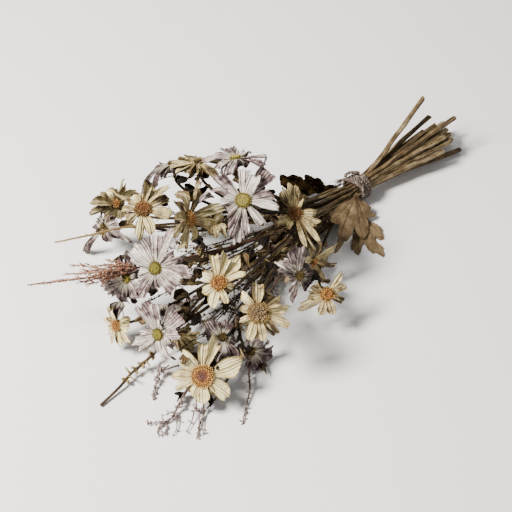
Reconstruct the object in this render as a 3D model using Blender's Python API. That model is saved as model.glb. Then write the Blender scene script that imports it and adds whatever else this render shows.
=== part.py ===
"""A dried, wilted bouquet of daisy-like flowers, tied with twine and lying on its side.

+X runs along the stems to the cut ends, +Z is up, and the bouquet rests on the plane z = 0.
Inside this file lengths are millimetres, measured from the middle of the twine tie. At the
end one empty moves the whole bouquet so that its origin is the bottom centre of its box.
"""
import math

import bmesh
import bpy
from mathutils import Matrix, Vector
from mathutils.kdtree import KDTree

MM = 0.001

# The tie: stems stacked in seven rows, wound with twine
ROWS = (3, 4, 5, 6, 5, 4, 3)                    # stems in each row, lowest row first
SLOT = 3.2                                      # spacing of the stems in a row
ROW_RISE = SLOT * math.sin(math.radians(60))    # spacing of the rows
STEM_TIE = 1.35                                 # stem radius inside the tie
TWIG_TIE = 1.2                                  # twig radius inside the tie
TIE_HALF = 9.5                                  # the stems run parallel over twice this length
BUNDLE = math.hypot(SLOT, 3 * ROW_RISE) + STEM_TIE  # radius of the stems inside the tie
TWINE = 3.2                                     # diameter of the twine
TWINE_LOOP = BUNDLE + TWINE / 2 + 0.75          # radius of the twine's centre line
TURNS = 4                                       # turns of twine
TURN_RISE = TWINE + 0.3                         # spacing of the turns
TWINE_FACETS = 10                               # straight runs in each turn
AXIS_Z = TWINE_LOOP + TWINE / 2                 # height of the tie's own axis
TAIL = 1.4                                      # radius of the twine's loose ends
TAIL_GAP = 0.55                                 # clearance from the turns to the loose ends

# Loose ends of the twine over the wound part: name, and points as (x, degrees from the top
# towards +Y, height above the turns).
TWINE_ENDS = (
    ("twine_tail",
     ((-17, 25, 1), (-13, 22, 0.3), (-10.5, 8, -0.5), (-9, -8, -0.6), (-7.5, -24, -0.5),
      (-6, -40, -0.2), (-5, -56, -0.4))),
    ("twine_loop",
     ((4.5, 8, -0.5), (1.5, 14, 1), (-2, 22, 2.2), (-5, 30, 2.2), (-6.5, 38, 1), (-5.5, 46, -0.5))),
)

# The cut ends, on the far side of the tie from the flowers
STEM_CUT = 2.5                                  # stem radius at the cut
TWIG_CUT = 1.9                                  # twig radius at the cut
CUT_LENGTH = 117.0                              # usual distance from the tie to the cut
CUT_VARIETY = 0.14                              # how much longer or shorter some are cut
CUT_SPREAD = 2.2                                # how much wider the stems lie there
CUT_DRIFT = -11.0                               # they veer a little to one side
CUT_FLOOR = 3.3                                 # height of the lowest cut ends
TALL_END = 28                                   # number in the tie of the stem that stands up
TALL_SAG = 2.5                                  # how far it hangs below a straight line
TALL_BEND = 0.6                                 # its thickening by the middle of that line
OWN_ENDS = {                                    # cut ends off their usual place, by number
    0: (109, -16.5, 3.3), 3: (124, -26, 3.2), 4: (112, -12.5, 9.4), 7: (100, -22, 13),
    8: (118, -17.5, 14.5), 11: (130, 3, 13.5), 12: (94, -28, 21), 14: (117, -13, 21),
    17: (117, 4.5, 19.5), 18: (106, -24.5, 24.5), 19: (113, -18, 26), 22: (98, 3.5, 24.6),
    23: (102, -20.5, 30.5), 24: (110, -16, 32.5), 25: (106, -4.5, 33), 26: (108, 5, 38),
    27: (121, -15.5, 41), 28: (103, 12, 60),
}

# The routes from the flowers to the tie
STEM_HEAD = 1.35                                # stem radius just under a flower
NECK = 5.0                                      # a stem runs straight this far behind its cup
STEP = 3.5                                      # spacing of the points a route is settled on
BEND_SHARE = 0.3                                # a stem keeps its flower's line for this share
BEND_MOST = 45                                  # and at most this far
TIE_SHARE = 0.42                                # it keeps the tie's line for this share
BENDS = {"cream_3": 18, "lilac_4": 24, "cream_4": 22, "lilac_2": 40, "cream_1": 40, "lilac_3": 40}
FORK = 2.4                                      # length of twig that a side branch grows from
BRANCH = ((0.5, 0.6), (1, 0.35))                # a branch's width at two shares of its length

# Easing the stems apart: how many rounds, how far round a point neighbours are looked for,
# the clearance aimed at, how far a point gives way to a fixed or a free neighbour in a round,
# how little of that is lengthwise, and how much it evens out with its own neighbours.
ROUNDS = 140
NEAR = 6.0
CLEAR = 1.6
YIELD_FIXED = 0.6
YIELD_FREE = 0.35
LENGTHWISE = 0.2
EVEN = 0.15

# How far a stem's straight runs may leave its smooth route, in the crowd at the tie and from
# OPEN on, where there is more room.
SLACK_TIE = 0.5
SLACK_OPEN = 1.1
OPEN = 200.0

# The flowers
CALYX = 8.0                                     # length of the green cup behind a flower
FOOT = 2.0                                      # radius of the cup's narrow end
DOME = 0.45                                     # the disc's rise, as a share of its radius
PETAL = 1.1                                     # thickness of a petal
LIFT = 12                                       # a petal leaves the disc leaning forward by this
CURL = 1.6                                      # its tip leans back by this times its droop
LONG_PETAL = 24                                 # a petal longer than this bends in three places
LONG_WIDTHS = (0.8, 1.0, 0.5)                   # share of its width at each bend and the tip
SHORT_WIDTHS = (1.0, 0.55)
WEDGE = 0.88                                    # share of the wedge between petals that one fills
ROOT = 0.42                                     # share of the same wedge that its root fills
LEAF = 1.0                                      # thickness of a leaf
SEAT = 0.3                                      # clearance between pieces that touch

# Each flower: name, colour, disc centre, facing (compass, elevation), disc radius, and its
# petals as (clock angle, length, width, droop). Clock angles run counter-clockwise as seen
# from in front of the flower, and 0 is its own level direction.
FLOWERS = (
    ("lilac_1", "lilac", (-153, -4, 105), (-135, 60), 6.5,
     ((-6, 27, 7, 10), (15, 23, 8, 22), (36, 29, 13, 14), (60, 31, 12, 12), (90, 29, 8, 15),
      (143, 28, 12, 16), (168, 13, 8, 15), (-138, 21, 12, 25), (-90, 30, 11, 10), (-44, 26, 8, 14))),
    ("lilac_2", "lilac", (-124, 37, 108), (60, 65), 5.5,
     ((-25, 27, 9, 30), (10, 29, 10, 30), (48, 24, 10, 42), (92, 20, 8, 55), (135, 24, 8, 50),
      (170, 32, 8, 38), (205, 32, 9, 40), (245, 26, 9, 28), (290, 26, 9, 26))),
    ("cream_1", "cream", (-141, 69, 92), (70, 65), 4.2,
     ((-15, 20, 7, 10), (25, 20, 7, 22), (75, 16, 7, 60), (130, 20, 7, 50), (165, 27, 8, 45),
      (205, 26, 8, 35), (255, 20, 8, 25), (305, 19, 8, 10))),
    ("lilac_3", "lilac", (-153, 91, 82), (65, 55), 5.0,
     ((-22, 30, 8, 40), (8, 38, 9, 58), (42, 30, 8, 70), (95, 14, 7, 60), (175, 12, 8, 45),
      (215, 13, 7, 35), (260, 18, 7, 25), (310, 22, 7, 30))),
    ("cream_2", "cream", (-211, 62, 85), (-80, 75), 7.0,
     ((94, 9, 6, 12), (48, 18, 8, 10), (26, 21, 6, 12), (6, 34, 6, 30), (-18, 24, 5, 15),
      (-54, 20, 9, 15), (-120, 19, 7, 20), (-146, 22, 7, 20), (168, 12, 5, 25))),
    ("cream_3", "cream", (-216, 96, 70), (-60, 40), 3.6,
     ((140, 28, 7, 30), (102, 15, 8, 15), (60, 12, 5, 15), (28, 18, 4, 10), (0, 27, 4, 20),
      (-28, 24, 5, 15), (-114, 13, 9, 18), (174, 9, 5, 25))),
    ("lilac_4", "lilac", (-224, 108, 36), (170, 25), 4.5,
     ((-90, 34, 6, 45), (-35, 14, 7, -20), (20, 13, 7, -25), (65, 12, 7, -25), (112, 13, 7, -20),
      (160, 14, 7, -15), (-140, 12, 7, -20))),
    ("cream_4", "cream", (-192, 22, 90), (-54, 21), 6.5,
     ((-30, 44, 10, 25), (-4, 36, 7, 20), (20, 20, 5, 10), (74, 18, 6, 25), (168, 24, 7, 15),
      (-162, 20, 6, 15), (-95, 22, 6, 30), (-58, 28, 8, 25))),
    ("lilac_5", "lilac", (-252, -5, 95), (-160, 45), 5.4,
     ((84, 32, 13, 16), (110, 22, 9, 14), (138, 19, 6, 30), (166, 19, 14, 12), (-145, 14, 9, 25),
      (-98, 18, 12, 14), (-64, 14, 7, 20), (-32, 17, 10, 18), (2, 22, 12, 18), (34, 23, 9, 12))),
    ("lilac_6", "lilac", (-259, 28, 60), (-175, 25), 4.2,
     ((-148, 27, 10, 20), (-118, 30, 9, 20), (-88, 24, 9, 25), (-56, 22, 9, 30), (-24, 16, 7, 25),
      (26, 12, 7, 20), (136, 24, 9, 25), (-178, 20, 8, 30))),
    ("lilac_7", "lilac", (-275, -32, 52), (-170, 35), 5.0,
     ((134, 27, 12, 12), (100, 8, 5, 8), (74, 23, 11, 12), (48, 24, 11, 14), (14, 15, 7, 25),
      (-34, 20, 9, 14), (-68, 15, 8, 25), (-104, 16, 10, 14), (-140, 19, 9, 16), (-172, 16, 5, 25))),
    ("cream_5", "cream", (-283, 17, 26), (180, 30), 4.5,
     ((134, 14, 5, 12), (164, 14, 5, 15), (-160, 14, 5, 20), (-120, 14, 7, 15), (-80, 17, 6, 15),
      (-48, 16, 5, 15), (-12, 18, 7, 15), (22, 15, 6, 15), (68, 8, 5, 20))),
    ("cream_6", "cream", (-223, -51, 92), (-135, 60), 6.2,
     ((104, 28, 7, 10), (78, 22, 9, 10), (52, 23, 8, 12), (24, 22, 6, 14), (-22, 8, 6, 25),
      (-68, 13, 5, 25), (-108, 17, 8, 12), (-150, 10, 7, 14), (154, 13, 7, 16))),
    ("cream_7", "cream", (-212, -86, 76), (-125, 40), 7.5,
     ((122, 18, 7, 14), (84, 21, 10, 10), (28, 16, 7, 12), (2, 20, 6, 14), (-26, 23, 7, 14),
      (-56, 19, 9, 14), (-86, 16, 9, 16), (-118, 19, 8, 12), (-158, 10, 5, 25), (158, 8, 5, 20))),
    ("cream_8", "cream", (-265, -75, 27), (-135, 55), 9.0,
     ((142, 20, 14, 10), (100, 27, 10, 8), (72, 28, 11, 8), (24, 30, 15, 8), (-30, 22, 15, 10),
      (-62, 13, 7, 25), (-104, 13, 13, 12), (-148, 16, 10, 12), (178, 15, 8, 16))),
    ("cream_9", "cream", (-134, -90, 40), (-115, 45), 5.5,
     ((46, 19, 9, 12), (6, 17, 8, 30), (-38, 13, 7, 18), (-78, 17, 7, 14), (-114, 19, 8, 14),
      (-150, 28, 9, 18), (164, 17, 9, 15))),
    ("lilac_8", "lilac", (-146, -68, 56), (-105, 30), 4.0,
     ((80, 22, 8, 15), (36, 9, 7, 15), (-52, 12, 6, 30), (-122, 20, 8, 20), (-162, 12, 6, 25),
      (126, 18, 10, 15))),
    ("cream_10", "cream", (-115, -54, 38), (-85, 10), 3.4,
     ((-14, 22, 7, 15), (-50, 24, 7, 25), (-84, 22, 7, 30), (-122, 14, 6, 30), (40, 10, 5, 30),
      (95, 12, 6, 30), (160, 12, 6, 30))),
    ("cream_11", "cream", (-111, -26, 76), (-155, 45), 6.5,
     ((138, 20, 9, 14), (112, 21, 8, 12), (88, 16, 7, 16), (62, 15, 6, 12), (20, 18, 10, 30),
      (-8, 24, 7, 30), (-30, 30, 6, 16), (-52, 34, 6, 14), (-98, 10, 6, 20), (-134, 12, 7, 15),
      (-172, 11, 5, 25))),
    ("lilac_9", "lilac", (-215, -81, 22), (-100, 10), 5.5,
     ((-20, 26, 8, 25), (-50, 24, 9, 25), (-82, 19, 9, 30), (-120, 9, 7, 35), (148, 12, 7, 40),
      (20, 13, 7, 30), (90, 12, 7, 30))),
    ("lilac_10", "lilac", (-229, -60, 34), (-75, 70), 5.0,
     ((70, 15, 9, 25), (32, 18, 9, 20), (-8, 13, 8, 25), (-82, 9, 8, 25), (-146, 18, 9, 25),
      (174, 12, 7, 30), (120, 10, 7, 30))),
    ("cream_12", "cream", (-252, -25, 26), (-145, 10), 5.0,
     ((-118, 19, 6, 20), (-88, 21, 5, 20), (-58, 28, 7, 25), (-28, 18, 8, 25), (40, 9, 7, 30),
      (95, 10, 6, 30), (160, 12, 6, 30))),
)

# Each twig: name, colour, points from its tip to where the usual route to the tie begins, the
# radius at its tip, and its side branches as (point number, tip).
TWIGS = (
    ("red_spray", "red", ((-322, 86, 52), (-301, 61, 62), (-277, 37, 70), (-251, 24, 70)), 0.8,
     ((2, (-290, 64, 72)), (3, (-268, 43, 78)))),
    ("straw_twig", "straw", ((-280, 102, 62), (-257, 86, 66), (-222, 71, 64)), 0.9, ()),
    ("budded_twig", "stem", ((-336, -25, 2), (-317, -23, 4), (-299, -20, 7), (-275, -20, 12), (-255, -16, 15)),
     0.9, ((2, (-301, -28, 9)), (2, (-299, -13, 10)), (3, (-284, -28, 13)))),
    ("mauve_spray_1", "mauve", ((-298, -49, 1.2), (-290, -42, 3), (-281, -36, 6), (-270, -40, 9), (-258, -46, 11)), 0.7,
     ((2, (-276, -30, 13)),)),
    ("mauve_spray_2", "mauve", ((-316, -76, 1.2), (-301, -76, 3), (-290, -72, 6)), 0.7,
     ((1, (-319, -66, 3)), (1, (-310, -89, 2)))),
    ("mauve_spray_3", "mauve", ((-297, -104, 1.2), (-287, -96, 2), (-279, -91, 3), (-262, -88, 6)), 0.7,
     ((1, (-301, -94, 2)),)),
    ("mauve_spray_4", "mauve", ((-260, -119, 1.2), (-247, -109, 2), (-233, -99, 5), (-223, -86, 9)), 0.7,
     ((1, (-257, -105, 3)),)),
)

# Each leaf: name, colour, base point, compass and pitch of its midrib, roll about it, fold
# along it and curl of its end in degrees, and its outline as (along, across).
LEAVES = (
    ("brown_leaf_1", "leaf", (-12.5, -10.5, 19.2), (-143, -8, -27), (5, 3),
     ((-3, -1.2), (5, -4), (14, -13), (22, -20), (30, -23), (36, -20), (36, -14), (43, -15), (50, -12),
      (59, -15), (68, -13), (56, -6), (47, -2), (39, 0), (43, 6), (42, 13), (33, 17), (26, 14),
      (19, 11), (14, 17), (8, 23), (2, 19), (0, 12), (-1, 4), (-3, 1.2))),
    ("brown_leaf_2", "leaf", (-10.9, -10.7, 8.4), (-122, -9, -2), (0, 0),
     ((-3, -1.2), (13, -1.5), (20, -5), (32, -12), (43, -18), (53, -20), (61, -17), (54, -12), (48, -8),
      (57, -4), (66, 2), (67, 8), (58, 9), (50, 5), (42, 6), (46, 11), (37, 15), (27, 14), (19, 8),
      (13, 1.5), (-3, 1.2))),
    ("dark_leaf", "dark", (-13.5, 9.2, 23.1), (114, -8, 0), (12, 8),
     ((-2, 1), (8, 0), (17, -2), (25, -4), (33, -6), (35, 3), (41, 0), (48, -4), (56, -3), (63, -1),
      (64, 5), (57, 12), (49, 18), (38, 21), (27, 20), (17, 16), (8, 10), (-2, 4))),
    ("curled_leaf", "dark", (-142.3, 56.7, 71.6), (175, 10, 20), (25, 30),
     ((-1, -1), (6, -8), (14, -11), (22, -8), (26, -3), (24, 4), (16, 9), (8, 7), (-1, 1.5))),
)

# Each finish: colour, roughness
FINISHES = {
    "lilac": ((0.42, 0.34, 0.36), 0.8),
    "cream": ((0.66, 0.56, 0.36), 0.8),
    "stem": ((0.22, 0.16, 0.08), 0.85),
    "straw": ((0.45, 0.34, 0.17), 0.85),
    "red": ((0.36, 0.16, 0.10), 0.9),
    "mauve": ((0.26, 0.17, 0.15), 0.9),
    "leaf": ((0.27, 0.18, 0.10), 0.85),
    "dark": ((0.02, 0.015, 0.01), 0.9),
    "twine": ((0.21, 0.15, 0.13), 0.95),
}


def flower_frame(centre, facing):
    """Matrix from a flower's own axes (level, up, outwards) to the bouquet's."""
    compass, rise = (math.radians(angle) for angle in facing)
    flat = Vector((math.cos(compass), math.sin(compass), 0))
    out = flat * math.cos(rise) + Vector((0, 0, math.sin(rise)))
    level = Vector((-flat.y, flat.x, 0))
    up = out.cross(level)
    matrix = Matrix((level, up, out)).transposed().to_4x4()
    matrix.translation = centre
    return matrix


def clock_gaps(petals):
    """Angle from each petal to its nearer neighbour, with the petals in clock order."""
    clocks = [petal[0] for petal in petals]
    steps = [(clocks[place] - clocks[place - 1]) % 360 for place in range(len(clocks))]
    return [math.radians(min(before, after)) for before, after in zip(steps, steps[1:] + steps[:1])]


def petal_stations(petal, radius, gap):
    """Middle, sideways direction, back-to-front direction and half width along a petal."""
    clock, length, width, droop = petal
    turn = math.radians(clock)
    away = Vector((math.cos(turn), math.sin(turn), 0))
    across = Vector((-math.sin(turn), math.cos(turn), 0))
    out = Vector((0, 0, 1))
    widths = LONG_WIDTHS if length > LONG_PETAL else SHORT_WIDTHS
    spot = away * radius
    for number, share in enumerate(widths, 1):
        middle = math.radians(LIFT - CURL * droop * (number - 0.5) / len(widths))
        spot = spot + (away * math.cos(middle) + out * math.sin(middle)) * length / len(widths)
        lean = math.radians(LIFT - CURL * droop * number / len(widths))
        front = out * math.cos(lean) - away * math.sin(lean)
        half_wedge = min(gap / 2, math.radians(70))
        room = WEDGE * math.tan(half_wedge) * spot.to_2d().length - SEAT / 2
        yield spot, across, front, min(width * share / 2, room)


def lifted(corners, matrix):
    """The corners of a petal's section, raised onto the ground where they would sink in it."""
    lowest = min((matrix @ corner).z for corner in corners)
    if lowest >= SEAT:
        return corners
    rise = matrix.to_3x3().inverted() @ Vector((0, 0, SEAT - lowest))
    return [corner + rise for corner in corners]


def flower_head(centre, facing, radius, petals):
    """One closed mesh: domed disc, petals grown from its rim, and the cup behind them."""
    matrix = flower_frame(centre, facing)
    petals = sorted(petals)
    gaps = clock_gaps(petals)
    back = Vector((0, 0, PETAL / 2))
    mesh = bmesh.new()
    low, high, foot = [], [], []
    for (clock, length, width, droop), gap in zip(petals, gaps):
        turn = math.radians(clock)
        half = min(ROOT * gap, math.asin(min(0.9, 0.3 * width / radius)))
        for angle in (turn - half, turn + half):
            rim = Vector((radius * math.cos(angle), radius * math.sin(angle), 0))
            low.append(mesh.verts.new(rim - back))
            high.append(mesh.verts.new(rim + back))
        foot.append(mesh.verts.new((FOOT * math.cos(turn), FOOT * math.sin(turn), -CALYX)))
    top = mesh.verts.new((0, 0, PETAL / 2 + DOME * radius))
    sides = []
    for here in range(len(low)):
        after = (here + 1) % len(low)
        side = mesh.faces.new((low[here], low[after], high[after], high[here]))
        mesh.faces.new((high[here], high[after], top))
        if here % 2 == 0:
            sides.append(side)
            mesh.faces.new((low[after], low[here], foot[here // 2]))
        else:
            mesh.faces.new((low[after], low[here], foot[here // 2], foot[after // 2]))
    mesh.faces.new(reversed(foot))
    for side, petal, gap in zip(sides, petals, gaps):
        for spot, across, front, half in petal_stations(petal, radius, gap):
            old = [vert.co.copy() for vert in side.verts]
            side = bmesh.ops.extrude_discrete_faces(mesh, faces=[side])["faces"][0]
            corners = [spot + across * half * wide + front * PETAL / 2 * deep
                       for wide, deep in ((-1, -1), (1, -1), (1, 1), (-1, 1))]
            corners = lifted(corners, matrix)
            for vert in side.verts:
                away = [(vert.co - corner).length for corner in old]
                vert.co = corners[away.index(min(away))]
    return mesh, matrix


def petal_cover(centre, facing, radius, petals):
    """Points spread over a flower's petals, which the stems keep clear of."""
    matrix = flower_frame(centre, facing)
    petals = sorted(petals)
    for petal, gap in zip(petals, clock_gaps(petals)):
        last = Vector((0, 0, 0))
        for spot, across, front, half in petal_stations(petal, radius, gap):
            for share in (0.35, 0.7, 1.0):
                for side in (-0.8, 0, 0.8):
                    yield matrix @ (last.lerp(spot, share) + across * half * side)
            last = spot


def finish(name):
    """The material of one finish, made once and shared."""
    if name in bpy.data.materials:
        return bpy.data.materials[name]
    material = bpy.data.materials.new(name)
    material.use_nodes = True
    shader = material.node_tree.nodes["Principled BSDF"]
    colour, roughness = FINISHES[name]
    shader.inputs["Base Color"].default_value = (*colour, 1)
    shader.inputs["Roughness"].default_value = roughness
    shader.inputs["Metallic"].default_value = 0
    return material


def add_object(name, data, colour, matrix, holder):
    """Put a mesh or curve in the scene as one named piece of the bouquet."""
    piece = bpy.data.objects.new(name, data)
    data.materials.append(finish(colour))
    bpy.context.collection.objects.link(piece)
    placed = matrix.copy()
    placed.translation = matrix.translation * MM
    piece.parent = holder
    piece.matrix_local = placed


def add_mesh(name, mesh, colour, matrix, holder, sharp=40):
    """Turn a bmesh in millimetres into a piece."""
    bmesh.ops.triangulate(mesh, faces=mesh.faces)
    bmesh.ops.recalc_face_normals(mesh, faces=mesh.faces)
    bmesh.ops.scale(mesh, vec=(MM, MM, MM), verts=mesh.verts)
    data = bpy.data.meshes.new(name)
    mesh.to_mesh(data)
    mesh.free()
    data.shade_smooth()
    data.set_sharp_from_angle(angle=math.radians(sharp))
    add_object(name, data, colour, matrix, holder)


def add_tube(name, points, radii, colour, holder):
    """A six-sided round piece along a route, as a curve with a bevel and filled caps."""
    data = bpy.data.curves.new(name, "CURVE")
    data.dimensions = "3D"
    data.bevel_depth = MM
    data.bevel_resolution = 1
    data.use_fill_caps = True
    line = data.splines.new("POLY")
    line.points.add(len(points) - 1)
    for knot, point, radius in zip(line.points, points, radii):
        knot.co = (*(point * MM), 1)
        knot.radius = radius
    add_object(name, data, colour, Matrix(), holder)


def slots():
    """Places of the stems inside the tie, row by row from the lowest, as (y, z)."""
    middle = len(ROWS) // 2
    for row, count in enumerate(ROWS):
        for place in range(count):
            yield (place - (count - 1) / 2) * SLOT, AXIS_Z + (row - middle) * ROW_RISE


def bezier(start, lead, trail, end):
    """Points about STEP apart on a cubic curve."""
    count = max(4, round((end - start).length / STEP))
    for number in range(count + 1):
        share = number / count
        rest = 1 - share
        yield (rest ** 3 * start + 3 * rest ** 2 * share * lead
               + 3 * rest * share ** 2 * trail + share ** 3 * end)


def head_route(name, start, heading, slot):
    """From a flower or a twig's inner end to the mouth of the tie."""
    end = Vector((-TIE_HALF, *slot))
    reach = (end - start).length
    keep = BENDS.get(name, min(BEND_MOST, BEND_SHARE * reach))
    return list(bezier(start, start + heading * keep, end - Vector((TIE_SHARE * reach, 0, 0)), end))


def between(points):
    """Straight runs between hand-set points, filled in about STEP apart."""
    filled = []
    for here, after in zip(points, points[1:]):
        count = max(1, round((after - here).length / STEP))
        filled += [here.lerp(after, number / count) for number in range(count)]
    return filled


def cut_end(number, slot):
    """Where the stem in a slot of the tie was cut off."""
    if number in OWN_ENDS:
        return Vector(OWN_ENDS[number])
    side, height = slot
    lowest = AXIS_Z - (len(ROWS) // 2) * ROW_RISE
    usual = Vector((CUT_LENGTH, CUT_DRIFT + CUT_SPREAD * side, CUT_FLOOR + CUT_SPREAD * (height - lowest)))
    mouth = Vector((TIE_HALF, *slot))
    return mouth.lerp(usual, 1 + CUT_VARIETY * math.sin(2.4 * number))


def steepness(plan):
    """How steeply a route comes down to the tie, which decides its row there."""
    name, start, heading, lead, tip = plan
    return (start.z - AXIS_Z) / start.to_2d().length


def sideways(plan):
    """The side that a route comes from, which decides its place in the row."""
    name, start, heading, lead, tip = plan
    return math.atan2(start.y, -start.x)


def plan_routes():
    """Every stem and twig: its own points up to the tie, how many of them stay put, its slot."""
    plans = []
    for name, colour, centre, facing, radius, petals in FLOWERS:
        out = flower_frame(centre, facing).to_3x3() @ Vector((0, 0, 1))
        start = Vector(centre) - out * (CALYX + SEAT)
        plans.append((name, start - out * NECK, -out, [start], STEM_HEAD))
    for name, colour, points, tip, sides in TWIGS:
        points = [Vector(point) for point in points]
        plans.append((name, points[-1], (points[-1] - points[-2]).normalized(), between(points), tip))
    plans.sort(key=steepness)
    places = list(slots())
    routes = {}
    first = 0
    for count in ROWS:
        row = sorted(plans[first:first + count], key=sideways)
        for number, (name, start, heading, lead, tip) in enumerate(row, first):
            path = lead + head_route(name, start, heading, places[number])
            routes[name] = (path, len(lead) + 1, number, tip)
        first += count
    return routes


def eased(here, near, own):
    """How far one point moves in a round: away from its neighbours, and towards evenness."""
    spot, owner, radius, fixed = here
    move = Vector()
    for other, other_owner, other_radius, other_fixed in near:
        away = spot - other
        short = radius + other_radius + CLEAR - away.length
        if other_owner != owner and short > 0 and away.length > 0:
            away.normalize()
            away.x *= LENGTHWISE
            move += away * short * (YIELD_FIXED if other_fixed else YIELD_FREE)
    before, after = own
    return move + (before + after - 2 * spot) * EVEN


def settle(routes, covers):
    """Ease the stems apart where they would run through each other, a petal or the ground."""
    points = []
    for name, (path, held, number, tip) in routes.items():
        for step, spot in enumerate(path):
            radius = tip + (STEM_TIE - tip) * step / len(path)
            points.append((spot, name, radius, step < held or step > len(path) - 3))
    moving = len(points)
    points += [(spot, name, PETAL, True) for name, spot in covers]
    for round_number in range(ROUNDS):
        tree = KDTree(len(points))
        for index, point in enumerate(points):
            tree.insert(point[0], index)
        tree.balance()
        moved = []
        for index in range(moving):
            spot, name, radius, fixed = points[index]
            if not fixed:
                near = [points[other] for place, other, distance in tree.find_range(spot, NEAR)]
                spot = spot + eased(points[index], near, (points[index - 1][0], points[index + 1][0]))
                spot.z = max(spot.z, radius + SEAT)
            moved.append((spot, name, radius, fixed))
        points[:moving] = moved
    return {name: [point[0] for point in points[:moving] if point[1] == name] for name in routes}


def slack_at(point):
    """How far a stem's straight runs may leave its smooth route here."""
    return SLACK_TIE + (SLACK_OPEN - SLACK_TIE) * min(1, max(0, -point.x / OPEN))


def thinned(points):
    """Only the points that a route needs to stay near its curve."""
    first, last = points[0], points[-1]
    line = (last - first).normalized()
    worst, place = 1, 0
    for number, point in enumerate(points[1:-1], 1):
        offset = point - first
        strain = (offset - line * offset.dot(line)).length / slack_at(point)
        if strain > worst:
            worst, place = strain, number
    if place == 0:
        return [first, last]
    return thinned(points[:place + 1])[:-1] + thinned(points[place:])


def cut_run(number, slot):
    """Points from the tie on to a stem's cut end, with the share of its thickening at each."""
    end = cut_end(number, slot)
    mouth = Vector((TIE_HALF, *slot))
    if number != TALL_END:
        return [(mouth, 0), (end, 1)]
    return [(mouth, 0), (mouth.lerp(end, 0.5) - Vector((0, 0, TALL_SAG)), TALL_BEND), (end, 1)]


def build_stem(name, path, number, holder):
    """A round flower stem from under its cup, through the tie, to its cut end."""
    points = [path[0]] + thinned(path[1:])
    last = len(points) - 1
    radii = [STEM_HEAD + (STEM_TIE - STEM_HEAD) * place / last for place in range(last + 1)]
    for point, share in cut_run(number, path[-1].yz):
        points.append(point)
        radii.append(STEM_TIE + (STEM_CUT - STEM_TIE) * share)
    add_tube("stem_" + name, points, radii, "stem", holder)


def build_twig(name, colour, lead, tip, forks, path, number, holder):
    """A square twig from its tip to its cut end, with side branches grown from its sides."""
    spots = [(Vector(spot), tip + (TWIG_TIE - tip) * place / len(lead)) for place, spot in enumerate(lead)]
    spots += [(spot, TWIG_TIE) for spot in thinned(path)]
    for spot, share in cut_run(number, path[-1].yz):
        spots.append((spot, TWIG_TIE + (TWIG_CUT - TWIG_TIE) * share))
    stations, branches = [], {}
    for place, (spot, size) in enumerate(spots):
        tips = [Vector(tip_point) for fork, tip_point in forks if fork == place]
        if tips:
            along = (spots[place + 1][0] - spot).normalized() * FORK / 2
            branches[len(stations)] = tips
            stations += [(spot - along, size), (spot + along, size)]
        else:
            stations.append((spot, size))
    mesh = bmesh.new()
    rings = []
    for here, (spot, size) in enumerate(stations):
        ahead = stations[min(here + 1, len(stations) - 1)][0] - stations[max(here - 1, 0)][0]
        side = ahead.cross(Vector((0, 0, 1))).normalized()
        rise = side.cross(ahead).normalized()
        corners = (side + rise, rise - side, -side - rise, side - rise)
        rings.append([mesh.verts.new(spot + corner * size * math.sqrt(0.5)) for corner in corners])
    mesh.faces.new(reversed(rings[0]))
    mesh.faces.new(rings[-1])
    walls = []
    for near, far in zip(rings, rings[1:]):
        corners = zip(near, near[1:] + near[:1], far[1:] + far[:1], far)
        walls.append([mesh.faces.new(wall) for wall in corners])
    bmesh.ops.recalc_face_normals(mesh, faces=mesh.faces)
    for here, tips in branches.items():
        for branch_tip in tips:
            grow_branch(mesh, walls[here], branch_tip)
    add_mesh(name, mesh, colour, Matrix(), holder, sharp=80)


def grow_branch(mesh, walls, tip):
    """Extrude the wall that faces a branch's tip, in steps that narrow towards it."""
    walls.sort(key=lambda wall: -wall.normal.dot((tip - wall.calc_center_median()).normalized()))
    side = walls.pop(0)
    root = side.calc_center_median()
    corners = [vert.co - root for vert in side.verts]
    for share, width in BRANCH:
        side = bmesh.ops.extrude_discrete_faces(mesh, faces=[side])["faces"][0]
        for vert, corner in zip(side.verts, corners):
            vert.co = root.lerp(tip, share) + corner * width


def around_tie(x, degrees, reach):
    """A point this far along and from the tie's axis, at an angle from its top towards +Y."""
    turn = math.radians(degrees)
    return Vector((x, reach * math.sin(turn), AXIS_Z + reach * math.cos(turn)))


def build_twine(holder):
    """The wound twine, its frayed end lying slantwise over the turns, and a small loop."""
    count = TURNS * TWINE_FACETS
    coil = []
    for number in range(count + 1):
        x = (number / count - 0.5) * TURNS * TURN_RISE
        coil.append(around_tie(x, 360 * number / TWINE_FACETS, TWINE_LOOP))
    add_tube("twine_wrap", coil, [TWINE / 2] * len(coil), "twine", holder)
    surface = TWINE_LOOP + TWINE / 2 + TAIL + TAIL_GAP
    for name, route in TWINE_ENDS:
        points = [around_tie(x, degrees, surface + lift) for x, degrees, lift in route]
        add_tube(name, points, [TAIL] * len(points), "twine", holder)


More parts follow.
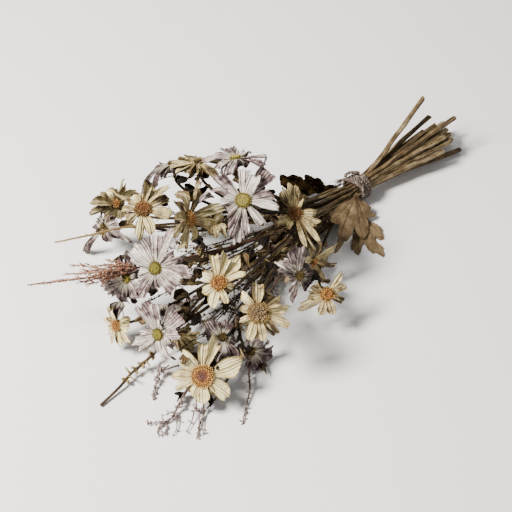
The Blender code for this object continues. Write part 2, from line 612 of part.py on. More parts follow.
def build_leaf(name, colour, base, aim, bend, outline, holder):
    """A thin leaf cut to its outline, folded along its midrib and curled at its end."""
    mesh = bmesh.new()
    edge = [mesh.verts.new((along, across, 0)) for along, across in outline]
    blade = mesh.faces.new(edge)
    blade.normal_update()
    bmesh.ops.triangulate(mesh, faces=[blade])
    grown = bmesh.ops.extrude_face_region(mesh, geom=mesh.faces[:])
    for vert in grown["geom"]:
        if isinstance(vert, bmesh.types.BMVert):
            vert.co.z += LEAF
    fold, curl = (math.radians(angle) for angle in bend)
    length = max(along for along, across in outline)
    compass, pitch, roll = (math.radians(angle) for angle in aim)
    turn = Matrix.Rotation(compass, 4, "Z") @ Matrix.Rotation(-pitch, 4, "Y") @ Matrix.Rotation(roll, 4, "X")
    matrix = Matrix.Translation(base) @ turn
    for vert in mesh.verts:
        level = vert.co.z
        vert.co.z -= abs(vert.co.y) * math.tan(fold) + curl * vert.co.x ** 2 / (2 * length)
        sunk = LEAF * (level > 0) + SEAT - (matrix @ vert.co).z
        if sunk > 0:
            vert.co += turn.to_3x3().inverted() @ Vector((0, 0, sunk))
    add_mesh(name, mesh, colour, matrix, holder)


def build_bouquet():
    """Every piece of the bouquet, under one empty at its origin."""
    holder = bpy.data.objects.new("bouquet", None)
    bpy.context.collection.objects.link(holder)
    covers = []
    for name, colour, centre, facing, radius, petals in FLOWERS:
        mesh, matrix = flower_head(centre, facing, radius, petals)
        covers += [(name, spot) for spot in petal_cover(centre, facing, radius, petals)]
        add_mesh(name, mesh, colour, matrix, holder)
    routes = plan_routes()
    settled = settle(routes, covers)
    for flower in FLOWERS:
        name = flower[0]
        number = routes[name][2]
        build_stem(name, settled[name], number, holder)
    for name, colour, lead, tip, forks in TWIGS:
        path, held, number, tip = routes[name]
        build_twig(name, colour, lead, tip, forks, settled[name][held:], number, holder)
    build_twine(holder)
    for leaf in LEAVES:
        build_leaf(*leaf, holder)
    return holder


def centre_on_ground(holder):
    """Move the empty so that the origin is the bottom centre of the bouquet's box."""
    bpy.context.view_layer.update()
    seen = bpy.context.evaluated_depsgraph_get()
    spots = []
    for piece in holder.children:
        whole = piece.evaluated_get(seen)
        spots += [piece.matrix_world @ vert.co for vert in whole.to_mesh().vertices]
        whole.to_mesh_clear()
    low = [min(spot[axis] for spot in spots) for axis in range(3)]
    high = [max(spot[axis] for spot in spots) for axis in range(3)]
    holder.location = (-(low[0] + high[0]) / 2, -(low[1] + high[1]) / 2, -low[2])


for old in list(bpy.data.objects):
    bpy.data.objects.remove(old)
centre_on_ground(build_bouquet())
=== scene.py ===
"""The looks of a dried, wilted bouquet of daisy-like flowers, tied with twine and lying down.

Every piece is made in millimetres in the frame of the solids and turned to metres when it
becomes an object. Flowers, stems and twigs start from the solids they stand for: a stem
follows its solid's centre line, and a flower sits where its own stem ends.
"""
import math
from functools import lru_cache

import bpy
import numpy as np
from mathutils import Matrix, Vector, geometry


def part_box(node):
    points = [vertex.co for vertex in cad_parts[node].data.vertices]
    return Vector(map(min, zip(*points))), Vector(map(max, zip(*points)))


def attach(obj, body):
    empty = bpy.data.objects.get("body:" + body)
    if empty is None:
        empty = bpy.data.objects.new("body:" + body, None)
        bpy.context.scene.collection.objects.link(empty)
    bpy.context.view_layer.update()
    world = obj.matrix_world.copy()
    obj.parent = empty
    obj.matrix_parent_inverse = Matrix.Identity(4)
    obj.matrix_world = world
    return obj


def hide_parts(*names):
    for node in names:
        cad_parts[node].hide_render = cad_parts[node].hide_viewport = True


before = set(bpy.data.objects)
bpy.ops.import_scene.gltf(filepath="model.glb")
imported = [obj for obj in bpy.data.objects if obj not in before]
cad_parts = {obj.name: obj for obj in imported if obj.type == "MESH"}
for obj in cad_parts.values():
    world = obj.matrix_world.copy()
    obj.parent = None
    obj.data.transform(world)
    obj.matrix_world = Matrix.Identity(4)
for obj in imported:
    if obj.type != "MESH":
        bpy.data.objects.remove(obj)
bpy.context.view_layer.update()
MM = 0.001

tie_low, tie_high = (np.array(corner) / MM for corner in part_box("twine_wrap"))
TIE = (tie_low + tie_high) / 2 * (1, 1, 0)      # on the surface, under the middle of the tie

# Flowers
CALYX = 8.3             # from the end of a stem to the middle of the disc
LIFT = 12               # a petal leaves the disc leaning forward by this many degrees
CURL = 1.6              # and its tip leans back by this times its droop
FLOOR = 0.25            # nothing reaches lower than this

# How petals of each kind are cut and dried: how much wider they are than they look from the
# front, cupped as they are; as shares, the width at the root, where it is widest and how far
# it closes towards the tip; how round the tip is; depth of its notches; how many lengthwise
# folds and their height; height of its one sharp crease as a share of the width; how many of
# them broke downwards at a knee, and how many are wedges with a straight end; how far its
# edges curl, how far it is crumpled and how thick it is (mm); points along and across it.
CUTS = {
    "lilac": dict(wide=1.3, root=0.33, widest=0.70, close=0.20, tip=0.16, notch=0.07, folds=2.6,
                  fold=0.55, crease=0.45, knees=0.28, wedges=0.5, edge=0.9, crumple=0.9,
                  thick=0.34, grid=(17, 13)),
    "cream": dict(wide=1.15, root=0.36, widest=0.58, close=0.28, tip=0.24, notch=0.06, folds=1.7,
                  fold=0.42, crease=0.4, knees=0.30, wedges=0.15, edge=0.8, crumple=0.75,
                  thick=0.36, grid=(17, 13)),
    "bract": dict(root=0.8, widest=0.35, close=0.75, tip=0.3, notch=0, folds=0.8, fold=0.15,
                  crease=0.1, knees=0, wedges=0, edge=0.1, crumple=0.2, thick=0.4, grid=(5, 5)),
    "scrap": dict(root=0.3, widest=0.45, close=0.7, tip=0.35, notch=0.22, folds=2.1, fold=0.9,
                  crease=1.0, knees=0.6, wedges=0.3, edge=1.7, crumple=2.3, thick=0.3,
                  grid=(11, 7)),
}

BEHIND = 5              # withered petals behind each flower
BEHIND_GRID = (13, 9)   # and the points along and across them

# Each flower: kind, look of its disc, how aged it is from 0 to 1, disc radius, and its petals
# as (clock angle, length, width, droop or lean at root and tip), counter-clockwise as seen from
# in front of it; some with how much more aged they are than the flower.
FLOWERS = {
    "lilac_1": ("lilac", "olive", 0.30, 6.5,
     ((-10, 29, 6, 8, -0.2), (-46, 26, 7, 12, -0.1), (-82, 28, 6, 14, 0.15), (-92, 34, 7, 10, -0.15),
      (-102, 31, 6, 14, 0.2), (-123, 22, 8, 18, 0.45), (-150, 20, 12, 25, 0.5), (168, 13, 10, 12),
      (149, 26, 9, 18, 0.3), (130, 27, 8, 16, 0.2), (87, 27, 9, 12, -0.2), (65, 20, 11, 10, -0.25),
      (55, 31, 12, 14, 0.2), (30, 29, 12, 18, 0.3), (14, 22, 8, 22, 0.4))),
    "lilac_2": ("lilac", "olive", 0.45, 4.5,
     ((-17, 28, 11, 12), (-44, 23, 10, 10), (-73, 21, 9, 8), (-112, 17, 9, 5), (-150, 18, 9, 8),
      (169, 29, 6, 20, 0.1), (133, 27, 6, 25), (146, 11, 8, 45, 0.1), (33, 20, 11, 35, 0.25),
      (64, 26, 9, 45, 0.35), (95, 10, 8, 60, 0.5), (115, 14, 7, 60, 0.4))),
    "cream_1": ("cream", "dull", 0.66, 3.4,
     ((-56, 20, 9, 5), (-30, 26, 10, (10, -25)), (-5, 26, 9, (5, -40)), (30, 16, 10, (-20, -80), 0.3),
      (60, 15, 10, (-30, -85), 0.35), (95, 14, 10, (-35, -85), 0.4), (120, 24, 8, (-15, -60), 0.1),
      (150, 22, 8, 35), (-74, 16, 9, 5), (-120, 14, 8, 5), (-160, 18, 8, 10), (175, 20, 8, 30))),
    "lilac_3": ("lilac", "dull", 0.70, 4.0,
     ((4, 44, 8, (15, -92), 0.25), (22, 30, 7, (-5, -75), 0.3), (-14, 20, 7, (10, -60), 0.4),
      (165, 20, 9, (0, -65), 0.1), (195, 14, 8, (0, -50), 0.2), (60, 9, 7, (-40, -85), 0.5),
      (120, 10, 7, (-40, -85), 0.5), (-60, 12, 7, 10), (-110, 12, 7, 10))),
    "cream_2": ("cream", "brown", 0.34, 7.0,
     ((76, 13, 8, 12, 0.35), (47, 20, 8, 12), (33, 23, 7, 10), (22, 26, 7, 12, 0.1), (4, 34, 7, 22, 0.15),
      (-20, 25, 7, 15), (-60, 20, 9, 15), (-122, 20, 9, 15), (-147, 25, 8, 12), (172, 12, 8, 20, 0.1),
      (140, 14, 6, 20), (95, 24, 5, 22, 0.1))),
    "cream_3": ("cream", "amber", 0.33, 3.6,
     ((99, 16, 11, 14), (70, 14, 9, 14, 0.1), (32, 19, 5, 10), (14, 22, 6, 10), (-2, 27, 4, 16, 0.1),
      (-18, 29, 7, 12), (-45, 12, 5, 20, 0.5), (-90, 10, 5, 30, 0.6), (-113, 13, 12, 15, -0.15),
      (-158, 9, 11, 25), (132, 26, 8, 20), (148, 29, 5, 25, 0.5), (170, 18, 6, 30, 0.45))),
    "lilac_4": ("lilac", "dull", 0.88, 4.0,
     ((-105, 42, 6, (30, -20), -0.15), (12, 30, 5, (-25, -35), -0.25), (-170, 18, 7, (10, -60)),
      (-153, 22, 7, (15, -50)), (-132, 18, 6, (15, -60)), (72, 16, 9, (-10, -70), -0.3),
      (40, 14, 9, (-10, -80), -0.35), (110, 14, 8, (10, -60), -0.1), (145, 15, 7, (15, -60)),
      (-60, 14, 8, (10, -70), -0.1), (-20, 13, 8, (5, -70), -0.1))),
    "cream_4": ("cream", "amber", 0.22, 6.5,
     ((-2, 44, 6, 12, 0.1), (-28, 40, 9, (35, 20), -0.2), (20, 30, 7, 15, 0.5), (45, 28, 8, 20, 0.7),
      (62, 26, 8, 25, 0.75), (92, 20, 8, 25, 0.4), (130, 18, 7, 25, 0.1), (160, 30, 6, 15, 0.25),
      (176, 32, 7, 12, 0.2), (-150, 22, 8, 15, 0.2), (-105, 20, 9, 20, 0.15), (-60, 30, 9, (30, 5), 0.1),
      (-42, 34, 9, (30, 5), 0.15))),
    "lilac_5": ("lilac", "green", 0.22, 5.4,
     ((155, 23, 13, 10, -0.25), (172, 20, 9, 12, -0.2), (138, 22, 9, 10, -0.1), (105, 27, 10, 12, 0.1),
      (81, 35, 8, 14, 0.25), (52, 16, 8, 14, 0.2), (29, 29, 8, 14, 0.25), (14, 31, 8, 16, 0.35),
      (-4, 24, 9, 16, 0.3), (-22, 24, 11, 18, 0.4), (-50, 12, 8, 25, 0.3), (-98, 23, 10, 14, 0.15),
      (-78, 14, 8, 25, 0.4), (-140, 14, 9, 25, 0.15), (-160, 17, 9, 20, 0.1))),
    "lilac_6": ("lilac", "green", 0.75, 4.2,
     ((-162, 28, 9, 15, 0.1), (-139, 31, 9, 18, -0.15), (-121, 34, 8, 18, -0.2), (-88, 28, 12, 28, 0.35),
      (-68, 22, 10, 28, 0.25), (-40, 18, 8, 28), (-15, 18, 9, 25), (131, 17, 10, 20, 0.1), (100, 20, 9, 18),
      (-178, 20, 9, 20, 0.15), (150, 15, 8, 22, 0.2), (40, 12, 7, 25))),
    "lilac_7": ("lilac", "green", 0.20, 5.0,
     ((144, 25, 12, 12, 0.2), (126, 25, 12, 12, 0.2), (99, 9, 8, 6, -0.25), (71, 26, 13, 12, 0.2),
      (47, 25, 12, 14, 0.2), (30, 18, 8, 20, 0.3), (-172, 15, 5, 25, 0.4), (-147, 22, 11, 12, -0.25),
      (-125, 20, 11, 14, -0.2), (-101, 16, 9, 16, -0.1), (-65, 12, 6, 25), (-37, 22, 9, 14, 0.1),
      (-15, 10, 6, 30, 0.3))),
    "cream_5": ("cream", "amber", 0.25, 4.5,
     ((150, 15, 4, 10, 0.1), (132, 16, 5, 10), (-163, 15, 6, 14, 0.15), (-121, 13, 5, 16), (-81, 14, 6, 14),
      (-60, 15, 4, 16, 0.2), (-38, 17, 4, 14), (-14, 18, 6, 14, 0.1), (34, 16, 9, 12), (55, 14, 7, 14, 0.1),
      (175, 9, 5, 25, 0.3))),
    "cream_6": ("cream", "rust", 0.20, 6.2,
     ((104, 29, 7, 10), (77, 22, 8, 10), (53, 25, 8, 12), (26, 20, 6, 14, 0.1), (-22, 8, 7, 25),
      (-68, 13, 6, 25), (-108, 17, 9, 12), (-150, 10, 8, 14), (154, 13, 8, 16))),
    "cream_7": ("cream", "rose", 0.45, 8.0,
     ((122, 19, 7, 14), (86, 23, 9, 10), (28, 17, 7, 12), (2, 21, 7, 14), (-26, 24, 7, 14),
      (-56, 20, 8, 14), (-86, 17, 8, 16), (-116, 20, 8, 12), (-158, 10, 6, 25), (158, 8, 6, 20))),
    "cream_8": ("cream", "eye", 0.12, 9.0,
     ((134, 23, 13, 8), (91, 28, 8, 8), (71, 30, 9, 8), (22, 30, 14, 8), (-34, 22, 13, 10), (-87, 15, 11, 12),
      (-116, 12, 9, 14, 0.1), (-155, 17, 7, 14, 0.15), (178, 18, 9, 12), (-60, 11, 6, 25, 0.2))),
    "cream_9": ("cream", "rust", 0.45, 5.5,
     ((40, 21, 5, 12), (12, 16, 6, 22, 0.4), (-37, 14, 6, 18, 0.15), (-87, 14, 7, 14), (-122, 16, 7, 14, 0.2),
      (-165, 24, 9, 20, 0.1), (171, 16, 7, 22, 0.35), (138, 12, 7, 18, 0.3))),
    "lilac_8": ("lilac", "dull", 0.72, 4.0,
     ((94, 26, 9, 14), (73, 25, 8, 16), (118, 26, 9, 12, -0.5), (138, 18, 9, 14, -0.35), (152, 13, 4, 20),
      (-132, 22, 7, 15), (-165, 10, 6, 25), (39, 12, 8, 30, 0.2), (5, 11, 8, 35, 0.2), (-30, 12, 9, 35, 0.2),
      (-62, 12, 8, 30, 0.15))),
    "cream_10": ("cream", "amber", 0.50, 3.4,
     ((15, 28, 8, (30, 15), -0.1), (-40, 34, 5, (25, 0)), (-78, 28, 6, 14, 0.1), (94, 26, 6, 14, 0.15),
      (60, 18, 7, 20, 0.2), (143, 14, 7, 25, 0.3), (-110, 16, 7, 25, 0.2), (-150, 10, 7, 30, 0.3),
      (-20, 20, 7, 20, 0.1))),
    "cream_11": ("cream", "brown", 0.53, 6.0,
     ((143, 21, 6, 14, 0.1), (130, 22, 5, 12), (117, 23, 5, 10), (106, 21, 6, 10), (97, 17, 6, 12),
      (80, 12, 6, 16, 0.2), (-138, 13, 7, 15), (-105, 12, 6, 20), (14, 18, 9, 12, -0.1), (-5, 21, 7, 14),
      (-17, 18, 6, 14), (-29, 31, 5, 14), (-49, 35, 5, 14), (-55, 27, 5, 14))),
    "lilac_9": ("lilac", "dull", 0.60, 4.0,
     ((30, 12, 9, 20), (-12, 15, 10, 12, -0.2), (-34, 26, 12, 14, 0.45), (-54, 22, 12, 10, -0.1),
      (-74, 26, 13, 16), (-96, 20, 11, 18, 0.1), (-126, 9, 8, 30, 0.2), (126, 12, 9, 35, 0.3),
      (88, 12, 9, 20, -0.2))),
    "lilac_10": ("lilac", "dull", 0.72, 4.0,
     ((77, 17, 12, 14), (52, 16, 12, 14, 0.1), (20, 14, 10, 18), (-37, 9, 8, 25, 0.2),
      (-125, 18, 12, 18, 0.1), (-152, 21, 13, 16), (175, 14, 9, 25, 0.3), (120, 12, 8, 25, 0.2),
      (-75, 10, 8, 28, 0.3))),
    "cream_12": ("cream", "amber", 0.48, 4.5,
     ((22, 24, 7, 10, 0.15), (40, 16, 7, 14, 0.2), (-19, 20, 8, 12), (-40, 20, 8, 16, 0.15),
      (-62, 29, 9, 20, 0.1), (-85, 14, 5, 20, -0.1), (-107, 12, 4, 20, -0.1), (-135, 12, 5, 20, 0.1),
      (150, 8, 5, 25), (95, 10, 6, 25, 0.2))),
}

STEM_SIDES = 6          # corners of a stem's solid, and of a twig's
TWIG_SIDES = 4
STEM_FOOT = 2.35        # radius of a stem near its cut end

# Twigs, from the tip inwards, measured from the tie: the points before their solid's own
# centre line begins.
TWIGS = {
    "red_spray": ((-322, 86, 52), (-301, 61, 62), (-277, 37, 70), (-251, 24, 70)),
    "straw_twig": (),
    "budded_twig": ((-336, -25, 2), (-317, -23, 4), (-299, -20, 7), (-275, -20, 12)),
    "mauve_spray_1": ((-298, -49, 1.2), (-290, -42, 3), (-281, -36, 6)),
    "mauve_spray_2": ((-316, -76, 1.2), (-301, -76, 3)),
    "mauve_spray_3": ((-297, -104, 1.2), (-287, -96, 2)),
    "mauve_spray_4": ((-260, -119, 1.2), (-247, -109, 2)),
}

# Plumes of the red spray, from its neck outwards.
PLUMES = (
    ((-253, 24, 70), (-277, 37, 70), (-301, 61, 62), (-322, 86, 52)),
    ((-253, 25, 71), (-278, 41, 72), (-299, 64, 66)),
    ((-253, 25, 72), (-275, 38, 75), (-279, 45, 75), (-290, 64, 72)),
    ((-253, 24, 69), (-264, 31, 67), (-278, 43, 62), (-288, 51, 59), (-293, 55, 57)),
    ((-251, 24, 72), (-261, 34, 77), (-268, 43, 78)),
    ((-256, 28, 73), (-269, 40, 75), (-274, 44, 74)),
    ((-264, 29, 68), (-279, 41, 60), (-289, 49, 57)),
    ((-251, 24, 71), (-262, 30, 71), (-274, 37, 70), (-284, 45, 68)),
    ((-252, 25, 73), (-263, 33, 74), (-276, 43, 72), (-287, 53, 68)),
)

# Budded side twigs: spray, gap between their twiglets, length of those, and points outwards.
SPRIGS = (
    ("mauve_spray_1", 0.9, 2.2, ((-274, -30, 11), (-279, -34, 8), (-284, -37, 5), (-290, -42, 3),
                                 (-298, -49, 1.2))),
    ("mauve_spray_1", 1.4, 2.2, ((-270, -37, 10), (-276, -36, 8), (-284, -37, 5), (-289, -42, 3.5))),
    ("mauve_spray_2", 1.1, 2.8, ((-281, -69, 8), (-294, -74, 5), (-301, -76, 3))),
    ("mauve_spray_2", 2.4, 1.8, ((-301, -76, 3), (-316, -76, 1.2), (-319, -80, 1.2), (-317, -82, 1.2),
                                 (-313, -82, 1.2), (-310, -80, 1.6))),
    ("mauve_spray_2", 1.4, 1.7, ((-305, -76, 3), (-312, -71, 2.5), (-318, -66, 2))),
    ("mauve_spray_2", 2.2, 1.9, ((-297, -73, 5), (-302, -72, 6), (-306, -71, 6))),
    ("mauve_spray_2", 5.0, 1.4, ((-296, -77, 4), (-304, -86, 2), (-309, -89, 1.5))),
    ("mauve_spray_3", 0.8, 2.6, ((-276, -79, 9), (-279, -82, 7), (-281, -86, 5.5))),
    ("mauve_spray_3", 6.0, 1.2, ((-281, -83, 6), (-291, -90, 3), (-300, -94, 1.6))),
    ("mauve_spray_3", 2.2, 1.8, ((-279, -86, 5), (-289, -97, 2.5), (-297, -104, 1.2))),
    ("mauve_spray_3", 5.0, 1.4, ((-273, -85, 6), (-282, -94, 3), (-290, -103, 1.4))),
    ("mauve_spray_4", 4.0, 1.6, ((-220, -85, 10), (-227, -91, 7), (-233, -98, 5), (-247, -109, 2))),
    ("mauve_spray_4", 1.6, 1.6, ((-247, -109, 2), (-254, -114, 1.6), (-260, -119, 1.2))),
)

# Fine dark sprays deep among the flowers, in the same way, each led back to the nearest stem.
INNER_SPRIGS = (
    ("mauve", 1.7, 2.4, ((-220, 10, 34), (-233, 14, 30), (-247, 19, 27))),
    ("mauve", 2.0, 2.0, ((-206, -10, 30), (-217, -6, 28), (-228, -2, 25))),
    ("dark", 2.0, 2.2, ((-200, -32, 26), (-215, -25, 22), (-230, -18, 14))),
    ("dark", 2.0, 2.0, ((-201, -36, 24), (-214, -30, 20), (-224, -21, 14))),
    ("dark", 1.0, 2.8, ((-165, -28, 50), (-178, -27, 46), (-191, -26, 42), (-206, -27, 36))),
    ("dark", 2.2, 1.8, ((-206, -52, 34), (-212, -58, 30), (-218, -60, 24))),
    ("dark", 1.8, 2.0, ((-160, 25, 52), (-166, 28, 50), (-174, 32, 46))),
    ("red", 1.4, 2.2, ((-179, 31, 38), (-183, 37, 38), (-187, 47, 36))),
    ("dark", 1.8, 2.0, ((-177, 26, 36), (-188, 36, 34), (-195, 52, 34))),
    ("dark", 1.2, 2.4, ((-143, -46, 40), (-154, -48, 34), (-166, -47, 26))),
)
BARE_STALKS = 40            # dead stalks without flowers, between the others
LIMBS = 4                   # side twigs on each of them
BUD_PLACES = (31, 44, 52, 63)       # from the tip of the budded twig, mm
STUB = (1.2, 1.0, 0.95, 1.2, 1.6, 1.3, 0.5)     # radii of a stub left by its bud, outwards
BUD_LIMBS = ((-301, -28, 9), (-299, -13, 10), (-284, -28, 13))

# Withered scraps on the stems: piece, how many, and the reach along the stems from the tie.
SCRAPS = (("stem_scraps_inner", 110, -115, -42), ("stem_scraps_outer", 200, -240, -80))

# Withered petals and leaf pieces between the flowers: finish, place from the tie, heading, length
# and width; how aged they are and their lean at root and tip where those aren't the usual ones.
# The dark ones, near black, fill black gaps between the flowers: partly dark scraps, partly
# painted shade.
USUAL = (0.9, (20, -30))
FALLEN = (
    ("petal", (-150, 28, 62), 190, 15, 9, 0.6, (20, -20)),
    ("petal", (-172, 14, 74), 250, 14, 11, 0.55, (-20, -50)),
    ("petal", (-214, -8, 47), 130, 20, 12, 1.0, (30, -35)),
    ("petal", (-206, -14, 44), 210, 18, 12, 1.1, (25, -30)),
    ("grey", (-250, -8, 50), 230, 24, 12, 0.75, (25, -35)),
    ("grey", (-240, -20, 48), 170, 19, 11, 0.85, (15, -25)),
    ("scrap", (-209, 5, 55), 140, 17, 11, 0.55, (30, -40)),
    ("scrap", (-203, 0, 53), 220, 15, 10, 0.7),
    ("scrap", (-238, -14, 40), 200, 13, 9, 0.8, (30, -20)),
    ("scrap", (-223, -10, 44), 160, 16, 9, 0.7, (20, -40)),
    ("scrap", (-251, -43, 14), 215, 15, 11, 0.35, (30, -30)),
    ("scrap", (-246, -52, 14), 160, 14, 9, 0.5, (20, -25)),
    ("scrap", (-170, -62, 42), 200, 14, 12, 0.3, (30, -30)),
    ("dark", (-264, -80, 8), 240, 16, 8, 0.9, (15, -20)),
    ("dark", (-276, -66, 5), 170, 12, 8, 0.9, (15, -20)), ("dark", (-218, -72, 28), 250, 20, 13),
    ("dark", (-240, -57, 18), 280, 17, 10), ("dark", (-132, -62, 38), 230, 15, 11, 0.9, (20, -40)),
    ("dark", (-128, -56, 36), 290, 17, 10, 0.9, (10, -50)), ("dark", (-152, 60, 72), 150, 15, 10),
    ("dark", (-141, 54, 84), 130, 18, 10, 0.9, (10, -35)),
    ("grey", (-266, 30, 32), 210, 18, 12, 1.05, (20, -40)), ("dark", (-140, 56, 84), 100, 16, 12),
    ("dark", (-155, 67, 82), 160, 14, 10), ("dark", (-199, 85, 80), 200, 9, 7),
    ("dark", (-184, 83, 84), 160, 9, 7), ("dark", (-251, 8, 60), 200, 12, 8),
    ("dark", (-187, 57, 78), 120, 9, 7), ("dark", (-249, -71, 30), 230, 15, 10),
    ("dark", (-100, 12, 70), 180, 9, 7), ("dark", (-229, -32, 40), 210, 14, 10),
    ("dark", (-248, -25, 44), 180, 13, 9), ("dark", (-130, -14, 52), 200, 14, 10),
    ("dark", (-147, -12, 44), 170, 15, 10), ("dark", (-140, -25, 34), 230, 14, 10),
    ("dark", (-172, -15, 50), 200, 14, 10), ("dark", (-244, 5, 52), 150, 14, 10),
    ("dark", (-206, 37, 62), 190, 14, 10), ("dark", (-183, 25, 62), 240, 14, 10),
    ("dark", (-154, -38, 14), 200, 14, 10), ("dark", (-209, -29, 40), 150, 15, 10),
    ("grey", (-178, 34, 86), 12, 30, 11, 0.2, (20, -25)),
    ("grey", (-235, -69, 30), 210, 18, 10, 0.6), ("grey", (-186, 19, 62), 240, 15, 10, 0.3),
    ("petal", (-167, 15, 70), 260, 16, 9, 0.5),
    ("petal", (-184, 12, 58), 200, 15, 9, 0.5, (10, -30)),
    ("scrap", (-222, -74, 28), 240, 15, 11, 0.75, (20, -40)),
    ("scrap", (-265, -55, 38), 210, 12, 9, 0.6), ("scrap", (-232, -25, 44), 150, 14, 10, 0.5),
    ("scrap", (-172, -25, 70), 230, 14, 10, 0.4),
    ("scrap", (-212, 3, 58), 170, 16, 11, 0.8, (20, -40)),
    ("scrap", (-242, 50, 58), 190, 17, 11, 0.6), ("scrap", (-251, 36, 60), 230, 16, 11, 0.6),
    ("scrap", (-264, -7, 44), 160, 15, 10, 0.5),
    ("scrap", (-65, 7, 44), 200, 10, 7, 0.5, (30, -50)),
    ("scrap", (-196, -30, 30), 200, 16, 10, 0.6), ("scrap", (-118, -41, 30), 210, 14, 10, 0.6),
    ("scrap", (-208, -87, 6), 230, 14, 10, 0.6), ("scrap", (-228, 95, 48), 200, 14, 9, 0.5),
)

# Leaves: base point from the tie, compass, pitch and roll of the midrib, fold along it and
# curl of the end in degrees, outline and main veins as (along, across) from the base, the
# depth and spacing of the teeth along the edge.
LEAVES = {
    "brown_leaf_1": ((-12.5, -10.5, 19.2), (-143, -8, -27), (5, 3), 0.5, 3.0,
     ((-3, -1.2), (4, -3), (11.5, -10.5), (20.5, -17), (28, -22.5), (33.5, -22.5), (39.5, -20.5),
      (39.5, -14), (36.5, -11), (44, -12), (49, -12.5), (51, -10), (57.5, -11), (64, -11), (71.5, -11),
      (67, -7.5), (58, -4.5), (54.5, -4), (54.5, -2), (48, 1.5), (43, 3), (35.5, 3.5), (40, 6.5),
      (42.5, 11.5), (43, 15.5), (38.5, 17.5), (32.5, 20), (27, 19), (22, 17.5), (18, 15.5), (16, 18),
      (13.5, 23), (8.5, 25.5), (9.5, 21), (7.5, 17.5), (4.5, 18.5), (4.5, 14), (3, 11.5), (1.5, 10),
      (2, 6.5), (0, 3), (-3, 1.2)),
     ((71, -11), (42, 14), (8.5, 25), (36, -18), (30, 19))),
    "brown_leaf_2": ((-10.9, -10.7, 8.4), (-122, -9, -2), (0, 0), 0.5, 3.0,
     ((-3, -1.2), (13, -1.5), (22, -4), (30, -9), (36, -12.5), (41.5, -14.5), (48, -17), (52.5, -18),
      (53, -16), (57.5, -15.5), (60.5, -13), (56, -9.5), (50.5, -7), (46, -4.5), (49, -3.5), (55, -2.5),
      (61, 1), (60.5, 4), (64, 7), (67.5, 9.5), (64, 12), (58, 11.5), (57, 13), (53.5, 12), (48.5, 9),
      (41.5, 7.5), (44, 10), (46, 12.5), (45, 16), (40.5, 17), (36.5, 16), (34, 16.5), (28, 14), (24.5, 11),
      (21, 7), (13, 1.5), (-3, 1.2)),
     ((67, 9), (60, -12.5), (44, 15))),
    "dark_leaf": ((-13.5, 9.2, 23.1), (114, -8, 0), (12, 8), 0.6, 4.0,
     ((-2, 1), (6, 3), (14, 5.5), (18, 2), (22, -0.5), (26, -3.5), (27.5, -1.5), (33, -4.5), (37, -5),
      (39, -3), (38, 0.5), (37, 3), (43, -0.5), (46.5, -1.5), (50, -2.5), (53.5, -3.5), (54.5, -2),
      (55.5, 0), (59, -0.5), (61.5, -1.5), (61.5, 0), (64.5, -0.5), (63, 5), (59.5, 11.5), (52, 15.5),
      (49, 18), (38, 21), (27, 20), (17, 16), (8, 10), (-2, 4)),
     ((62, 3), (48, 16), (37, -3), (26, 18))),
    "curled_leaf": ((-142.3, 56.7, 71.6), (175, 10, 20), (25, 30), 0.6, 4.0,
     ((-1, -1), (6, -8), (14, -11), (22, -8), (26, -3), (24, 4), (16, 9), (8, 7), (-1, 1.5)),
     ((25, 0), (14, -10), (15, 8))),
}
LEAF_THICK = 0.35
LEAF_GRAIN = 0.9        # spacing of the points on a leaf, fine enough to draw its veins
LEAF_STEP = 0.8         # and along its edge

# Twine: its centre line as the solids have it, and the loose ends as (x, degrees from the top,
# height above the turns).
TWINE = 3.2
TURNS = 4
TURN_RISE = 3.5
TAIL = 1.4
TAIL_GAP = 0.55
TWINE_LOOP = (tie_high[2] - tie_low[2] - TWINE) / 2     # radius of the wound part's centre line
PLY_PITCH = 7.5         # length in which the two plies go once round each other
FRAYED = 60             # fibres at the tail's tip
TWINE_ENDS = {
    "twine_tail": ((-17, 25, 1), (-13, 22, 0.3), (-10.5, 8, -0.5), (-9, -8, -0.6), (-7.5, -24, -0.5),
                   (-6, -40, -0.2), (-5, -56, -0.4)),
    "twine_loop": ((4.5, 8, -0.5), (1.5, 14, 1), (-2, 22, 2.2), (-5, 30, 2.2), (-6.5, 38, 1),
                   (-5.5, 46, -0.5)),
}


# ---- Making surfaces -----------------------------------------------------------------------

def seeded(name):
    """The random draws of one piece, the same on each run."""
    return np.random.default_rng(int.from_bytes(name.encode(), "little") % 2 ** 32)


def unit(rows):
    """The same directions, each of length one."""
    return rows / np.linalg.norm(rows, axis=-1, keepdims=True)


def walk(points):
    """How far each point of a line is along it."""
    return np.concatenate([[0], np.cumsum(np.linalg.norm(np.diff(points, axis=0), axis=1))])


def at_distance(spot, far, line):
    """Points of a line, or of its slopes, at some distances along it."""
    return np.stack([np.interp(spot, far, line[:, axis]) for axis in range(3)], -1)


